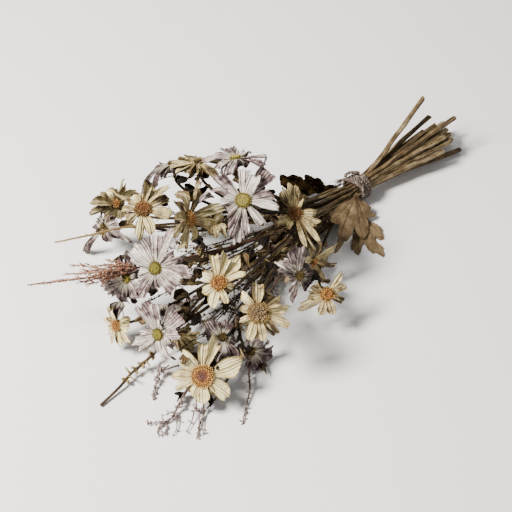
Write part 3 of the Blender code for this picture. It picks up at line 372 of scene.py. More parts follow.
class Heap:
    """Closed shells of one piece while it is made, in millimetres.

    Each point carries notes for its finish: where it lies on its own petal or stem (mm), and
    (tint, share along, share to the edge), and whether it is on the back.
    """

    def __init__(self):
        self.points, self.faces, self.lie, self.part, self.back = [], [], [], [], []
        self.count = 0

    def add(self, points, faces, lie, part, back=None):
        points = np.array(points, float)
        points[:, 2] = np.maximum(points[:, 2], FLOOR)
        self.points.append(points)
        self.faces += (np.array(faces) + self.count).tolist() if isinstance(faces, np.ndarray) else [
            [corner + self.count for corner in face] for face in faces]
        self.lie.append(np.array(lie, float))
        self.part.append(np.array(part, float))
        self.back.append(np.zeros(len(points)) if back is None else back)
        self.count += len(points)

    def piece(self, name, material, slot, *nodes, sharp=50):
        """The finished piece, riding on the bouquet in place of the solids it stands for."""
        mesh = bpy.data.meshes.new(name)
        mesh.from_pydata((np.concatenate(self.points) * MM).tolist(), [], self.faces)
        for note, values in (("lie", self.lie), ("part", self.part)):
            layer = mesh.attributes.new(note, "FLOAT_VECTOR", "POINT")
            layer.data.foreach_set("vector", np.concatenate(values).ravel())
        layer = mesh.attributes.new("back", "FLOAT", "POINT")
        layer.data.foreach_set("value", np.concatenate(self.back))
        mesh.materials.append(material)
        mesh.shade_smooth()
        mesh.set_sharp_from_angle(angle=math.radians(sharp))
        made = bpy.data.objects.new(name, mesh)
        bpy.context.scene.collection.objects.link(made)
        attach(made, "root")
        if nodes:
            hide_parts(*nodes)
        return made


@lru_cache
def sheet_faces(rows, columns):
    """Faces of a closed thin sheet: front grid, back grid and the rim between them."""
    spot = np.arange(rows * columns).reshape(rows, columns)
    behind = rows * columns
    a, b, c, d = spot[:-1, :-1], spot[1:, :-1], spot[1:, 1:], spot[:-1, 1:]
    front = np.stack([a, b, c, d], -1).reshape(-1, 4)
    back = front[:, ::-1] + behind
    edge = np.concatenate([spot[:, 0], spot[-1, 1:], spot[-2::-1, -1], spot[0, -2:0:-1]])
    after = np.roll(edge, -1)
    rim = np.stack([after, edge, edge + behind, after + behind], -1)
    return np.concatenate([front, back, rim])


@lru_cache
def tube_faces(rings, sides):
    """Walls of a tube, ring by ring, without its ends."""
    spot = np.arange(rings * sides).reshape(rings, sides)
    after = np.roll(spot, -1, axis=1)
    return np.stack([spot[:-1], after[:-1], after[1:], spot[1:]], -1).reshape(-1, 4)


def capped(rings, sides):
    """The same with both ends closed."""
    ends = [list(range(sides))[::-1], list(range((rings - 1) * sides, rings * sides))]
    return tube_faces(rings, sides).tolist() + ends


def angles(sides):
    """The directions of a ring's corners (rad)."""
    return 2 * math.pi * np.arange(sides) / sides


def turned(profile, sides):
    """Points and faces of a closed lathed shell from its (radius, height) rows."""
    flat = angles(sides)
    rings = [(radius * np.cos(flat), radius * np.sin(flat), 0 * flat + height) for radius, height in profile]
    return np.stack(rings).transpose(0, 2, 1).reshape(-1, 3), capped(len(rings), sides)


def ripple(across, along, size, dice):
    """Uneven waves about `size` mm long over a sheet, from -1 to 1."""
    height = 0
    for wave in range(3):
        heading = dice.uniform(0, math.pi)
        pace = 2 * math.pi / (size * dice.uniform(0.7, 1.4))
        phase = dice.uniform(0, 2 * math.pi)
        height = height + np.sin(pace * (across * math.cos(heading) + along * math.sin(heading)) + phase)
    return height / 3


def frames(points):
    """Two directions square to a line at each of its points, turning as little as they can."""
    ahead = unit(np.gradient(points, axis=0))
    side = np.cross(ahead[0], (0, 0, 1) if abs(ahead[0][2]) < 0.9 else (0, 1, 0))
    sides = []
    for heading in ahead:
        side = unit(side - heading * side.dot(heading))
        sides.append(side)
    sides = np.array(sides)
    return ahead, sides, np.cross(ahead, sides)


def smooth(knots, step):
    """A smooth line through knots of any number of values each, in steps of about `step` mm."""
    knots = np.array(knots, float)
    runs = np.diff(knots, axis=0)
    lengths = np.linalg.norm(runs[:, :3], axis=1)[:, None]
    slopes = runs / lengths
    turns = (slopes[:-1] * lengths[1:] + slopes[1:] * lengths[:-1]) / (lengths[1:] + lengths[:-1])
    slopes = np.concatenate([slopes[:1], turns, slopes[-1:]])
    line = []
    for place, length in enumerate(lengths[:, 0]):
        count = max(1, round(length / step))
        t = np.arange(count)[:, None] / count
        line.append((1 + 2 * t) * (1 - t) ** 2 * knots[place] + t ** 2 * (3 - 2 * t) * knots[place + 1]
                    + length * (t * (1 - t) ** 2 * slopes[place] - t ** 2 * (1 - t) * slopes[place + 1]))
    return np.concatenate(line + [knots[-1:]])


def straight(knots, step):
    """The same with straight runs between the knots, for an edge with sharp corners."""
    knots = np.array(knots, float)
    line = [here + (after - here) * np.arange(0, 1, step / np.linalg.norm(after - here))[:, None]
            for here, after in zip(knots, knots[1:])]
    return np.concatenate(line + [knots[-1:]])


PITH = ((0.88, 0), (0.5, 0.1), (0.4, 0.5))     # rings of a cut end: share of its radius, how sunken (mm)


def add_tube(heap, points, radii, sides, tint, ridges=None, spin=0.0, slant=None):
    """A closed tube along a line; ridges multiply its radius round about, spin turns them (rad/mm).

    With a slant its far end is cut off slantwise, with a paler, sunken pith.
    """
    points = np.array(points, float)
    ahead, side, rise = frames(points)
    far = walk(points)
    flat = angles(sides)
    turn = (flat + spin * far[:, None])[..., None]
    radii = np.broadcast_to(radii, len(points))[:, None] * (np.ones(sides) if ridges is None else ridges)
    ring = (side[:, None] * np.cos(turn) + rise[:, None] * np.sin(turn)) * radii[..., None]
    if slant is not None:
        lead = ahead[-1] * slant
        slope = ring[-1] @ side[-1]
        last = points[-1] + ring[-1] + lead * slope[:, None]
        inner = [points[-1] + (ring[-1] + lead * slope[:, None]) * share - ahead[-1] * sunk
                 for share, sunk in PITH]
    skin = (points[:, None] + ring).reshape(-1, 3)
    around = np.stack([np.cos(flat), np.sin(flat)], -1) * radii.mean(1)[:, None, None]
    lie = np.concatenate([around, np.repeat(far, sides).reshape(-1, sides, 1)], -1).reshape(-1, 3)
    part = np.stack([np.full(len(skin), tint), np.repeat(far / far[-1], sides), np.zeros(len(skin))], -1)
    rings = len(points)
    if slant is not None:
        skin = np.concatenate([skin[:-sides], last] + inner)
        lie = np.concatenate([lie] + [lie[-sides:]] * len(PITH))
        part = np.concatenate([part] + [part[-sides:] * (1, 1, 0) + (0, 0, 1)] * len(PITH))
        rings += len(PITH)
    heap.add(skin, capped(rings, sides), lie, part)


def settled(height, soft):
    """Heights of a thin sheet where it has settled softly on the ground instead of sinking in."""
    above = (height - FLOOR - 0.2) / soft
    return FLOOR + 0.2 + soft * np.where(above > 20, above, np.log1p(np.exp(np.minimum(above, 20))))


def petal_outline(cut, length, width, dice):
    """A petal laid flat: how far along it the points of its grid are, as shares, and across (mm)."""
    rows, columns = cut["grid"]
    t = np.linspace(-1, 1, columns)
    root, widest, close, blunt, slant = cut["root"], cut["widest"], cut["close"], cut["tip"], 0.09
    if dice.uniform() < cut["wedges"]:      # widest near its end, which is cut off straight or aslant
        root, widest, close, blunt, slant = 0.8 * root, 0.95, 0.04, 0.03, 0.2
    tip = blunt * np.abs(t) ** 3 + abs(dice.normal(0, slant)) * (1 + dice.choice((-1, 1)) * t) / 2
    for notch in range(2):
        spot = dice.uniform(-0.7, 0.7)
        tip = tip + cut["notch"] * dice.uniform(0.3, 1.6) * np.exp(-((t - spot) / 0.16) ** 2)
    a = np.linspace(0, 1, rows)[:, None] * (1 - tip)
    rising = root + (1 - root) * np.sin(np.minimum(a / widest, 1) * math.pi / 2)
    closing = 1 - close * (np.maximum(a - widest, 0) / (1 - widest)) ** 2
    ragged = 1 + 0.07 * cut["crumple"] * ripple(np.sign(t) * 40, a * length, 6, dice) * np.abs(t)
    uneven = 1 + dice.normal(0, 0.12) * t + 0.08 * np.sin(a * dice.uniform(4, 9) + dice.uniform(0, 6))
    return a, t * width / 2 * rising * closing * ragged * uneven + dice.normal(0, 0.06) * a ** 2 * length


def petal_relief(cut, a, t, x, length, width, dice):
    """Height of its folds, curled rims, cup, crumples and crease over each point (mm)."""
    free = np.minimum(1, 2 * a)     # held at the root, free from its middle on
    fold = cut["fold"] * np.cos(math.pi * cut["folds"] * t + dice.uniform(-1, 1))
    fold = fold * np.minimum(1, 0.25 + 1.5 * a)
    rim = np.maximum(np.abs(t) - 0.55, 0) / 0.45
    rims = np.where(t < 0, dice.normal(0, 1), dice.normal(0, 1)) * cut["edge"] * rim ** 2 * free
    cup = dice.normal(0.10, 0.22) * width * (t ** 2 - 0.3) * a
    f = fold + rims + cup + cut["crumple"] * ripple(x, a * length, 11, dice) * a
    f = f + 0.25 * cut["crumple"] * ripple(x, a * length, 4, dice) * free
    crease = dice.choice((-1, 1)) * dice.uniform(0, cut["crease"]) * width / 2
    return f + crease * (np.abs(t - dice.uniform(-0.4, 0.4)) - 0.5) * free


def petal_bend(cut, a, length, lean, dice):
    """How far a petal reaches out and rises by each point, and its lean there, knee and all."""
    fine = np.linspace(0, 1, 80)
    hook = dice.normal(0, 12) - dice.uniform(40, 95) * (dice.uniform() < cut["knees"])
    hook = hook * np.clip((fine - dice.uniform(0.45, 0.85)) / 0.08, 0, 1)
    angle = np.radians(lean[0] + (lean[1] - lean[0]) * fine + hook)
    reach, height = (np.concatenate([[0], np.cumsum(run[:-1])]) * length / (len(fine) - 1)
                     for run in (np.cos(angle), np.sin(angle)))
    return (np.interp(a, fine, run) for run in (reach, height, angle))


def petal_strip(heap, matrix, centre, start, petal, cut, lean, age, dice):
    """One petal, bract or scrap: a thin closed sheet, folded, curled and crumpled as it dried.

    matrix holds the flower's level, up and outward directions as columns; start is the
    petal's root as (distance from the axis, height); lean is its lean forward at root and tip.
    """
    clock, length, width = petal
    rows, columns = cut["grid"]
    s = np.linspace(0, 1, rows)[:, None]
    t = np.linspace(-1, 1, columns)[None, :]
    a, x = petal_outline(cut, length, width, dice)
    f = petal_relief(cut, a, t, x, length, width, dice)
    twist = dice.normal(0, 0.30) * a
    x, f = x * np.cos(twist) - f * np.sin(twist), x * np.sin(twist) + f * np.cos(twist)
    reach, height, bend = petal_bend(cut, a, length, lean, dice)
    away = start[0] + reach - np.sin(bend) * f
    out = start[1] + height + np.cos(bend) * f
    cos, sin = math.cos(math.radians(clock)), math.sin(math.radians(clock))
    level = np.stack([away * cos - x * sin, away * sin + x * cos, out], -1)
    middle = level @ matrix.T + centre
    middle[..., 2] = settled(middle[..., 2], dice.uniform(0.3, 1.2))

    normal = unit(np.cross(np.gradient(middle, axis=0), np.gradient(middle, axis=1)))
    thick = normal * (cut["thick"] / 2 * (1 - 0.5 * np.maximum(np.abs(t), s) ** 6))[..., None]
    points = np.concatenate([middle + thick, middle - thick]).reshape(-1, 3)
    # A few petals at random are much more aged and darker: partly age, partly painted shade for petals lying
    # in shadow.
    tint = min(1, max(0, age + dice.normal(0, 0.15) + (dice.uniform() < 0.15) * 0.3))
    shift = dice.uniform(0, 100)
    lie = np.stack([shift + t * width / 2 + 0 * a, a * length, shift + 0 * a], -1).reshape(-1, 3)
    part = np.stack([0 * a + tint, a, np.maximum(np.abs(t), s ** 3)], -1).reshape(-1, 3)
    heap.add(points, sheet_faces(rows, columns), np.tile(lie, (2, 1)), np.tile(part, (2, 1)),
             np.repeat((0.0, 1.0), a.size))


def add_grains(heap, places, headings, sizes, notes, shape, sides, dice):
    """Many small buds, florets or seeds: a lathed shape set at each place along its heading.

    sizes are (length, radius) and notes (tint, share) of each.
    """
    heights, widths = np.array(shape, float).T[..., None, None]
    flat = angles(sides)[:, None]
    faces = capped(len(shape), sides)
    share = np.repeat(heights, sides)
    for place, heading, (length, width), (tint, spot) in zip(places, headings, sizes, notes):
        heading = unit(heading)
        side = unit(np.cross(heading, dice.normal(size=3)))
        ring = np.cos(flat) * side + np.sin(flat) * np.cross(heading, side)
        points = (heights * length * heading + widths * width * ring).reshape(-1, 3)
        part = np.stack([np.full(len(points), tint), np.full(len(points), spot), share], -1)
        heap.add(points + place, faces, points + dice.uniform(0, 60), part)


# ---- Reading the solids --------------------------------------------------------------------

def walked(name, sides):
    """Rings of a tube solid as rows (x, y, z, radius), from its cut end to where it forks or ends."""
    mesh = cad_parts[name].data
    spots = [tuple(np.round(np.array(vert.co) / MM, 2)) for vert in mesh.vertices]
    near = {}
    for edge in mesh.edges:
        a, b = (spots[end] for end in edge.vertices)
        near.setdefault(a, set()).add(b)
        near.setdefault(b, set()).add(a)
    ring = sorted(near, key=lambda spot: -spot[0])[:sides]
    seen, rings = set(), []
    while len(ring) == sides:
        middle = np.mean(ring, axis=0)
        rings.append((*middle, np.linalg.norm(np.array(ring) - middle, axis=1).mean()))
        seen.update(ring)
        ring = sorted({spot for known in ring for spot in near[known]} - seen)
    return np.array(rings)


def swayed(line, size, reach, dice):
    """A line (x, y, z, radius) with slight uneven waves `size` mm long, none near its ends."""
    far = walk(line[:, :3])
    held = np.minimum(1, np.minimum(far, far[-1] - far) / size)
    for axis in (1, 2):
        line[:, axis] += reach * held * ripple(far, 0 * far, size, dice)
    return line, far


# ---- Flowers -------------------------------------------------------------------------------

# Shapes of florets, buds and scales, as shares of their length and radius from the root up.
FLORET = ((0, 0.7), (0.5, 1.0), (0.85, 0.85), (1, 0.35))
GRAIN = ((0, 0.35), (0.35, 1), (0.75, 0.75), (1, 0.15))
SCALE = ((0, 0.5), (0.3, 1), (0.7, 0.7), (1, 0.1))

# Discs: height of the dome and how far its rim is raised (shares of the radius), spacing,
# length and girth of the florets in mm, and how unevenly they stand.
DISCS = {
    "olive": (0.30, 0.10, 0.95, 1.1, 0.50, 0.25),
    "green": (0.24, 0.12, 0.95, 1.0, 0.50, 0.22),
    "amber": (0.55, 0.00, 1.00, 1.5, 0.46, 0.45),
    "rust": (0.40, 0.16, 1.05, 1.7, 0.48, 0.50),
    "rose": (0.48, 0.05, 0.95, 1.8, 0.36, 0.60),
    "eye": (0.22, 0.22, 1.00, 1.5, 0.46, 0.35),
    "brown": (0.42, 0.10, 1.00, 1.6, 0.46, 0.50),
    "dull": (0.40, 0.05, 1.00, 1.4, 0.46, 0.50),
}
GOLDEN_ANGLE = math.radians(137.508)        # between one floret and the next, as they grow

# Cup: height behind the disc, and radius as mm plus a share of the disc's. Rows of its bracts:
# the same three, the bracts' length and their lean outwards.
CUP = ((-8.3, 2.1, 0), (-7.4, 2.5, 0), (-6.2, 1.6, 0.36), (-4.6, 0.8, 0.66), (-2.8, 0, 0.92), (-0.9, 0, 0.97))
BRACTS = ((-6.4, 1.6, 0.33, 5.0, 64), (-5.0, 0.9, 0.6, 5.0, 70), (-3.6, 0.4, 0.84, 4.6, 74))


def flower_frame(name):
    """Middle of a flower's disc, and its level, up and outward directions as columns."""
    rings = walked("stem_" + name, STEM_SIDES)
    out = unit(rings[-1, :3] - rings[-2, :3])
    level = unit(np.array((-out[1], out[0], 0)))
    return rings[-1, :3] + out * CALYX, np.stack([level, np.cross(out, level), out], -1)


def build_petals(name, material):
    """A flower's petals, in two overlapping rows, and a few withered ones behind them."""
    kind, _, age, radius, petals = FLOWERS[name]
    centre, matrix = flower_frame(name)
    dice = seeded(name)
    cut, behind = CUTS[kind], CUTS[kind] | {"grid": BEHIND_GRID}
    heap = Heap()
    for number, (clock, length, width, droop, *older) in enumerate(sorted(petals)):
        row = number % 2
        start = (radius * 0.8, -0.2 - 0.7 * row)
        if isinstance(droop, int):
            droop = (LIFT, LIFT - CURL * droop)
        lean = (droop[0] + dice.normal(0, 6), droop[1] + dice.normal(0, 8))
        petal = (clock, length + radius * 0.15, width * cut["wide"])
        petal_strip(heap, matrix, centre, start, petal, cut, lean, age + sum(older), dice)
    clocks = [petal[0] for petal in petals]
    for extra in range(BEHIND):
        clock = dice.choice(clocks) + dice.normal(0, 14)
        length, width = petals[dice.integers(len(petals))][1:3]
        lean = (dice.uniform(-14, 0), -dice.uniform(30, 75))
        petal = (clock, min(17, length * dice.uniform(0.5, 0.75)), width * dice.uniform(0.5, 0.9))
        petal_strip(heap, matrix, centre, (radius * 0.8, -1.8), petal, behind, lean, age + 0.5, dice)
    heap.piece(name + "_petals", material, kind + "_flower", name)


def build_centre(name, material):
    """A flower's disc: a dome closely set with florets, in the spirals in which they grow."""
    kind, look, _, radius, _ = FLOWERS[name]
    dome, rim, spacing, height, girth, uneven = DISCS[look]
    centre, matrix = flower_frame(name)
    dice = seeded(name + "_centre")
    count = int(math.pi * radius ** 2 / spacing ** 2)
    shares = np.sqrt((np.arange(count) + 0.5) / count)
    turns = np.arange(count) * GOLDEN_ANGLE + dice.uniform(0, 6)
    cos, sin = np.cos(turns), np.sin(turns)
    edge = radius * (1 + 0.05 * np.cos(3 * turns + dice.uniform(0, 6)))

    def rise(share):
        return radius * (dome * (1 - share ** 2.4) + rim * np.exp(-((share - 0.85) / 0.13) ** 2)) + 0.3

    places = np.stack([edge * shares * cos, edge * shares * sin, rise(shares)], -1)
    slope = (rise(shares + 0.01) - rise(shares - 0.01)) / (0.02 * radius)
    headings = np.stack([-slope * cos, -slope * sin, np.ones(count)], -1)
    headings += dice.normal(0, 0.3 * uneven, (count, 3))
    lengths = height * dice.uniform(1 - uneven, 1 + uneven, count) * (0.75 + 0.4 * shares)
    girths = girth * dice.uniform(0.85, 1.15, count)
    heap = Heap()
    hill = [(radius * share, rise(share) - 0.2) for share in np.linspace(1, 0, 8)[:-1]]
    hill, faces = turned([(radius * 1.02, -1.2)] + hill, 24)
    share = np.hypot(hill[:, 0], hill[:, 1]) / radius
    heap.add(hill @ matrix.T + centre, faces, hill, np.stack([0 * share + 0.8, share, 0 * share], -1))
    notes = np.stack([dice.uniform(0, 1, count), shares], -1)
    add_grains(heap, places @ matrix.T + centre, headings @ matrix.T, np.stack([lengths, girths], -1),
               notes, FLORET, 5, dice)
    heap.piece(name + "_centre", material, kind + "_flower", name)


def build_cup(name, material):
    """The cup behind a flower, with three rows of dried bracts."""
    radius = FLOWERS[name][3]
    centre, matrix = flower_frame(name)
    dice = seeded(name + "_cup")
    heap = Heap()
    bowl, faces = turned([(add + share * radius, height) for height, add, share in CUP], 16)
    part = np.stack([0 * bowl[:, 0] + 0.5, (bowl[:, 2] + CALYX) / CALYX, 0 * bowl[:, 0]], -1)
    heap.add(bowl @ matrix.T + centre, faces, bowl, part)
    for row, (height, add, share, length, lean) in enumerate(BRACTS):
        count = 8 + row
        for number in range(count):
            clock = 360 * (number + row / 2) / count + dice.normal(0, 4)
            petal = (clock, length * dice.uniform(0.85, 1.15), 3.0 + 0.12 * radius)
            lean_back = (lean, lean + dice.normal(-8, 7))
            start = (add + share * radius + 0.15, height)
            petal_strip(heap, matrix, centre, start, petal, CUTS["bract"], lean_back, 0.5, dice)
    heap.piece(name + "_cup", material, "stem", name)


# ---- Stems and twigs -----------------------------------------------------------------------

def build_stem(name, material):
    """A dried flower stem: ridged, slightly wavy, thicker where leaves grew, cut off slantwise."""
    dice = seeded(name)
    line, far = swayed(smooth(walked(name, STEM_SIDES)[::-1], 3.0), 34, 0.5, dice)
    radii = line[:, 3] * 0.98
    joint = dice.uniform(12, 30)
    while joint < far[-1] - 8:
        radii = radii * (1 + 0.20 * np.exp(-((far - joint) / 2.4) ** 2))
        joint += dice.uniform(26, 44)
    radii *= 1 + 0.05 * ripple(far, 0 * far, 12, dice)
    past = line[:, 0] - TIE[0] - 12     # from the tie on a stem thickens towards its cut end
    radii = np.where(past > 0, np.maximum(radii, np.minimum(STEM_FOOT, 1.4 + 0.06 * past)), radii)
    ridges = np.where(np.arange(12) % 2, 0.82, 1.08) * dice.uniform(0.92, 1.06, 12)
    heap = Heap()
    tint, spin, slant = dice.uniform(0, 1), dice.normal(0, 0.012), dice.uniform(0.15, 0.6)
    add_tube(heap, line[:, :3], radii, 12, tint, ridges, spin, slant)
    heap.piece(name, material, "stem", name)
    return line


def twig_line(name):
    """A twig's centre line (x, y, z, radius) from its tip to its cut end."""
    rings = walked(name, TWIG_SIDES)[::-1]
    lead = np.array([(*(TIE + spot), 0) for spot in TWIGS[name]])
    if len(lead):
        apart = np.linalg.norm(rings[:, :3] - lead[-1, :3], axis=1)
        rings = rings[np.argmax(apart > 6):]
        lead[:, 3] = np.linspace(0.5, rings[0, 3] * 0.9, len(lead))
        rings = np.concatenate([lead, rings])
    return smooth(rings, 2.5)


def branch(start, end, sag, dice, steps=14):
    """A slender branch from start to end, bowed a little sideways; sag is how far it arches up."""
    t = np.linspace(0, 1, steps)[:, None]
    run = end - start
    length = np.linalg.norm(run)
    bow = unit(np.cross(run, dice.normal(size=3))) * length * dice.normal(0, 0.06)
    return start + run * t + (bow + (0, 0, sag * length)) * (4 * t * (1 - t))


def reached(place, ahead, spread, low, high, dice):
    """Where a side twig from a place ends: on ahead, astray by the spread, never underground."""
    aim = ahead + dice.normal(0, spread, 3)
    end = place + unit(aim) * dice.uniform(low, high)
    end[2] = max(end[2], FLOOR + 1)
    return end


def grain_cloud(heap, line, spacing, size, spread, lean, shape, sides, dice):
    """Small scales or buds all along a branch, pointing on and outwards."""
    far = walk(line)
    count = int(far[-1] / spacing)
    spots = np.sort(dice.uniform(0.04, 1, count)) * far[-1]
    places = at_distance(spots, far, line)
    ahead = unit(at_distance(spots, far, np.gradient(line, far, axis=0)))
    out = unit(np.cross(ahead, dice.normal(size=(count, 3))))
    taper = 1 - 0.45 * (spots / far[-1])[:, None] ** 2
    places = places + out * spread * taper * dice.uniform(0.1, 1, (count, 1))
    headings = ahead * lean + out
    sizes = np.array(size) * dice.uniform(0.7, 1.3, (count, 1)) * taper
    notes = np.stack([dice.uniform(0, 1, count), spots / far[-1]], -1)
    add_grains(heap, places, headings, sizes, notes, shape, sides, dice)


def sprig(wood, buds, line, width, gap, reach, dice, size=1.0):
    """A fine side twig, thinning outwards, with short twiglets along it that carry tiny buds."""
    add_tube(wood, line, np.linspace(width, 0.45 * width, len(line)), 5, dice.uniform(0, 1))
    far = walk(line)
    for share in np.append(np.sort(dice.uniform(0.08, 1, int(far[-1] / gap))), 1.0):
        spot = share * far[-1]
        place = at_distance(spot, far, line)
        at = min(max(1, int(np.searchsorted(far, spot))), len(line) - 1)
        ahead = unit(line[at] - line[at - 1]) * dice.uniform(0.5, 1.2)
        end = reached(place, ahead, 0.5, 0.5 * reach, 1.4 * reach, dice)
        twiglet = branch(place, end, 0.04, dice, steps=4)
        add_tube(wood, twiglet, np.linspace(0.32, 0.22, 4) * size, 4, dice.uniform(0, 1))
        grain_cloud(buds, twiglet[1:], 0.36 * size, (1.5 * size, 0.62 * size), 0.8, 0.5, GRAIN, 4, dice)


def nearest(spots, place):
    """The one of some points that is nearest to a place."""
    return spots[np.argmin(np.linalg.norm(spots[:, :3] - place, axis=1)), :3]


def build_red_spray(wood, plume):
    """A feathery spray: long plumes nearly side by side, closely set with dry scales."""
    name = "red_spray"
    dice = seeded(name)
    line, _ = swayed(twig_line(name), 30, 0.4, dice)
    stem, scales = Heap(), Heap()
    add_tube(stem, line[:, :3], line[:, 3], 6, 0.4, None, 0, 0.4)
    for number, knots in enumerate(PLUMES):
        plume_line = smooth(TIE + knots, 1.5)
        size = np.linalg.norm(plume_line[-1] - plume_line[0])
        if number:
            add_tube(stem, plume_line, np.linspace(0.5, 0.18, len(plume_line)), 5, dice.uniform(0, 1))
        grain_cloud(scales, plume_line, 0.4, (2.2, 0.42), 0.8, 2.4, SCALE, 4, dice)
        for share in np.arange(0.12, 0.94, 2.4 / size):
            at = int(share * (len(plume_line) - 2))
            aim = unit(plume_line[at + 1] - plume_line[at]) + dice.normal(0, 0.26, 3)
            twiglet = branch(plume_line[at], plume_line[at] + aim * dice.uniform(3, 8), 0.03, dice, steps=7)
            add_tube(stem, twiglet, np.linspace(0.24, 0.12, 7), 4, dice.uniform(0, 1))
            grain_cloud(scales, twiglet[1:], 0.55, (1.9, 0.36), 0.5, 2.2, SCALE, 4, dice)
    stem.piece(name + "_twig", wood, "red_plume", name)
    scales.piece(name + "_plume", plume, "red_plume", name)


def build_mauve_spray(name, wood, plume):
    """A spray of fine twiglets that carry crowded or scattered tiny dried buds."""
    dice = seeded(name)
    line, far = swayed(twig_line(name), 26, 0.5, dice)
    stem, buds = Heap(), Heap()
    add_tube(stem, line[:, :3], np.maximum(0.35, line[:, 3] * 0.85), 6, 0.5, None, 0, 0.4)
    for spray, gap, reach, knots in SPRIGS:
        if spray == name:
            sprig(stem, buds, smooth(TIE + knots, 1.5), 0.75, gap, reach, dice, 1.55)
    inner = line[(far > 46) & (line[:, 0] < TIE[0] - 110), :3][::-1]
    for share in np.arange(0.1, 0.9, 0.1):
        place = inner[int(share * (len(inner) - 1))]
        end = reached(place, unit(inner[-1] - inner[0]), 0.35, 9, 20, dice)
        sprig(stem, buds, branch(place, end, 0.03, dice, steps=9), 0.35, 2.4, 2.0, dice)
    stem.piece(name + "_twig", wood, "mauve_plume", name)
    buds.piece(name + "_plume", plume, "mauve_plume", name)


def build_inner_sprigs(stems, finishes):
    """Fine sprays deep among the flowers, each led back to the nearest stem."""
    dice = seeded("inner_sprigs")
    spots = np.concatenate([line[:, :3] for line in stems])
    heaps = {tone: (Heap(), Heap()) for tone in finishes}
    for tone, gap, reach, knots in INNER_SPRIGS:
        knots = TIE + knots
        root = nearest(spots, knots[0] + unit(knots[0] - knots[1]) * 12)
        sprig(*heaps[tone], smooth(np.concatenate([[root], knots]), 1.5), 0.5, gap, reach, dice)
    for tone, (wood, buds) in finishes.items():
        heaps[tone][0].piece("inner_twigs_" + tone, wood, "mauve_plume")
        heaps[tone][1].piece("inner_buds_" + tone, buds, "mauve_plume")


def build_bare_stalks(stems, wood, buds):
    """Dead stalks that have lost their flowers, lying between the others, with a few dark buds."""
    dice = seeded("bare_stalks")
    runs = []
    for line in stems:
        doubled_back = np.flatnonzero(np.diff(line[:, 0]) <= 0)
        runs.append(line[doubled_back[-1] + 1:] if len(doubled_back) else line)
    runs.sort(key=lambda run: np.interp(TIE[0] - 70, run[:, 0], run[:, 1]))
    stalks, tips = Heap(), Heap()
    for number in range(BARE_STALKS):
        place = dice.integers(len(runs) - 2)
        pair = runs[place], runs[place + 1 + dice.integers(2)]
        first = max(run[0, 0] for run in pair) + dice.uniform(4, 50)
        x = np.arange(min(first, TIE[0] - 70), TIE[0] - 12, 3.0)
        share = dice.uniform(0.3, 0.7)
        y, z = (share * np.interp(x, pair[0][:, 0], pair[0][:, axis])
                + (1 - share) * np.interp(x, pair[1][:, 0], pair[1][:, axis]) for axis in (1, 2))
        y, z = (level + 0.8 * ripple(x, 0 * x, wave, dice) for level, wave in ((y, 30), (z, 26)))
        line = np.stack([x, y, z], -1)
        ahead = unit(line[0] - line[4]) + dice.normal(0, 0.14, 3)
        free = branch(line[0] + ahead * dice.uniform(14, 42), line[0], 0.05, dice, steps=12)
        line = np.concatenate([free[:-1], line])
        radii = np.linspace(0.45, dice.uniform(0.8, 1.35), len(line))
        add_tube(stalks, line, radii, 7, dice.uniform(0, 0.6), dice.uniform(0.85, 1.1, 7))
        for limb in range(LIMBS):
            at = dice.integers(1, max(3, len(line) // 2))
            end = reached(line[at], unit(line[at - 1] - line[at + 1]), 0.4, 7, 20, dice)
            sprig(stalks, tips, branch(line[at], end, 0.03, dice, steps=8), 0.36, 2.6, 2.0, dice)
    stalks.piece("bare_stalks", wood, "stem")
    tips.piece("bare_stalk_buds", buds, "stem")


def build_straw(material):
    """A pale straw-coloured twig, smooth and thin, with small buds left along its end."""
    dice = seeded("straw_twig")
    line, far = swayed(twig_line("straw_twig"), 40, 0.5, dice)
    heap = Heap()
    ridges = np.where(np.arange(8) % 2, 0.9, 1.06)
    add_tube(heap, line[:, :3], line[:, 3] * 0.95, 8, 0.2, ridges, 0.01, 0.4)
    outer = line[far < 44, :3][::-1]
    grain_cloud(heap, outer, 2.6, (2.2, 0.55), 1.0, 1.6, GRAIN, 6, dice)
    heap.piece("straw_twig_dressed", material, "straw", "straw_twig")


def build_budded_twig(material):
    """A woody twig with a long bare tip and pairs of dark stubs where its buds sat."""
    name = "budded_twig"
    dice = seeded(name)
    line, far = swayed(twig_line(name), 24, 0.5, dice)
    radii = np.maximum(line[:, 3], 0.9) * 1.45 * (1 + 0.08 * ripple(far, 0 * far, 7, dice))
    heap = Heap()
    for knot in BUD_PLACES:
        radii = radii * (1 + 0.45 * np.exp(-((far - knot) / 1.6) ** 2))
    add_tube(heap, line[:, :3], radii, 8, 0.35, dice.uniform(0.9, 1.08, 8), 0.02, 0.4)
    ahead, side, rise = frames(line[:, :3])
    for knot in BUD_PLACES:
        at = int(np.searchsorted(far, knot))
        turn = dice.uniform(0, math.pi)
        for sign in (-1, 1):
            out = sign * (side[at] * math.cos(turn) + rise[at] * math.sin(turn)) - ahead[at] * 0.9
            end = line[at, :3] + unit(out) * dice.uniform(4, 7)
            stub = branch(line[at, :3], end, 0.05, dice, steps=len(STUB))
            add_tube(heap, stub, STUB, 7, 1.0, dice.uniform(0.85, 1.1, 7))
    for end in BUD_LIMBS:
        end = TIE + end
        limb = branch(nearest(line, end), end, 0.05, dice, steps=9)
        add_tube(heap, limb, np.linspace(1.2, 0.7, 9), 7, 0.9, dice.uniform(0.85, 1.1, 7))
    heap.piece(name + "_dressed", material, "twig", name)


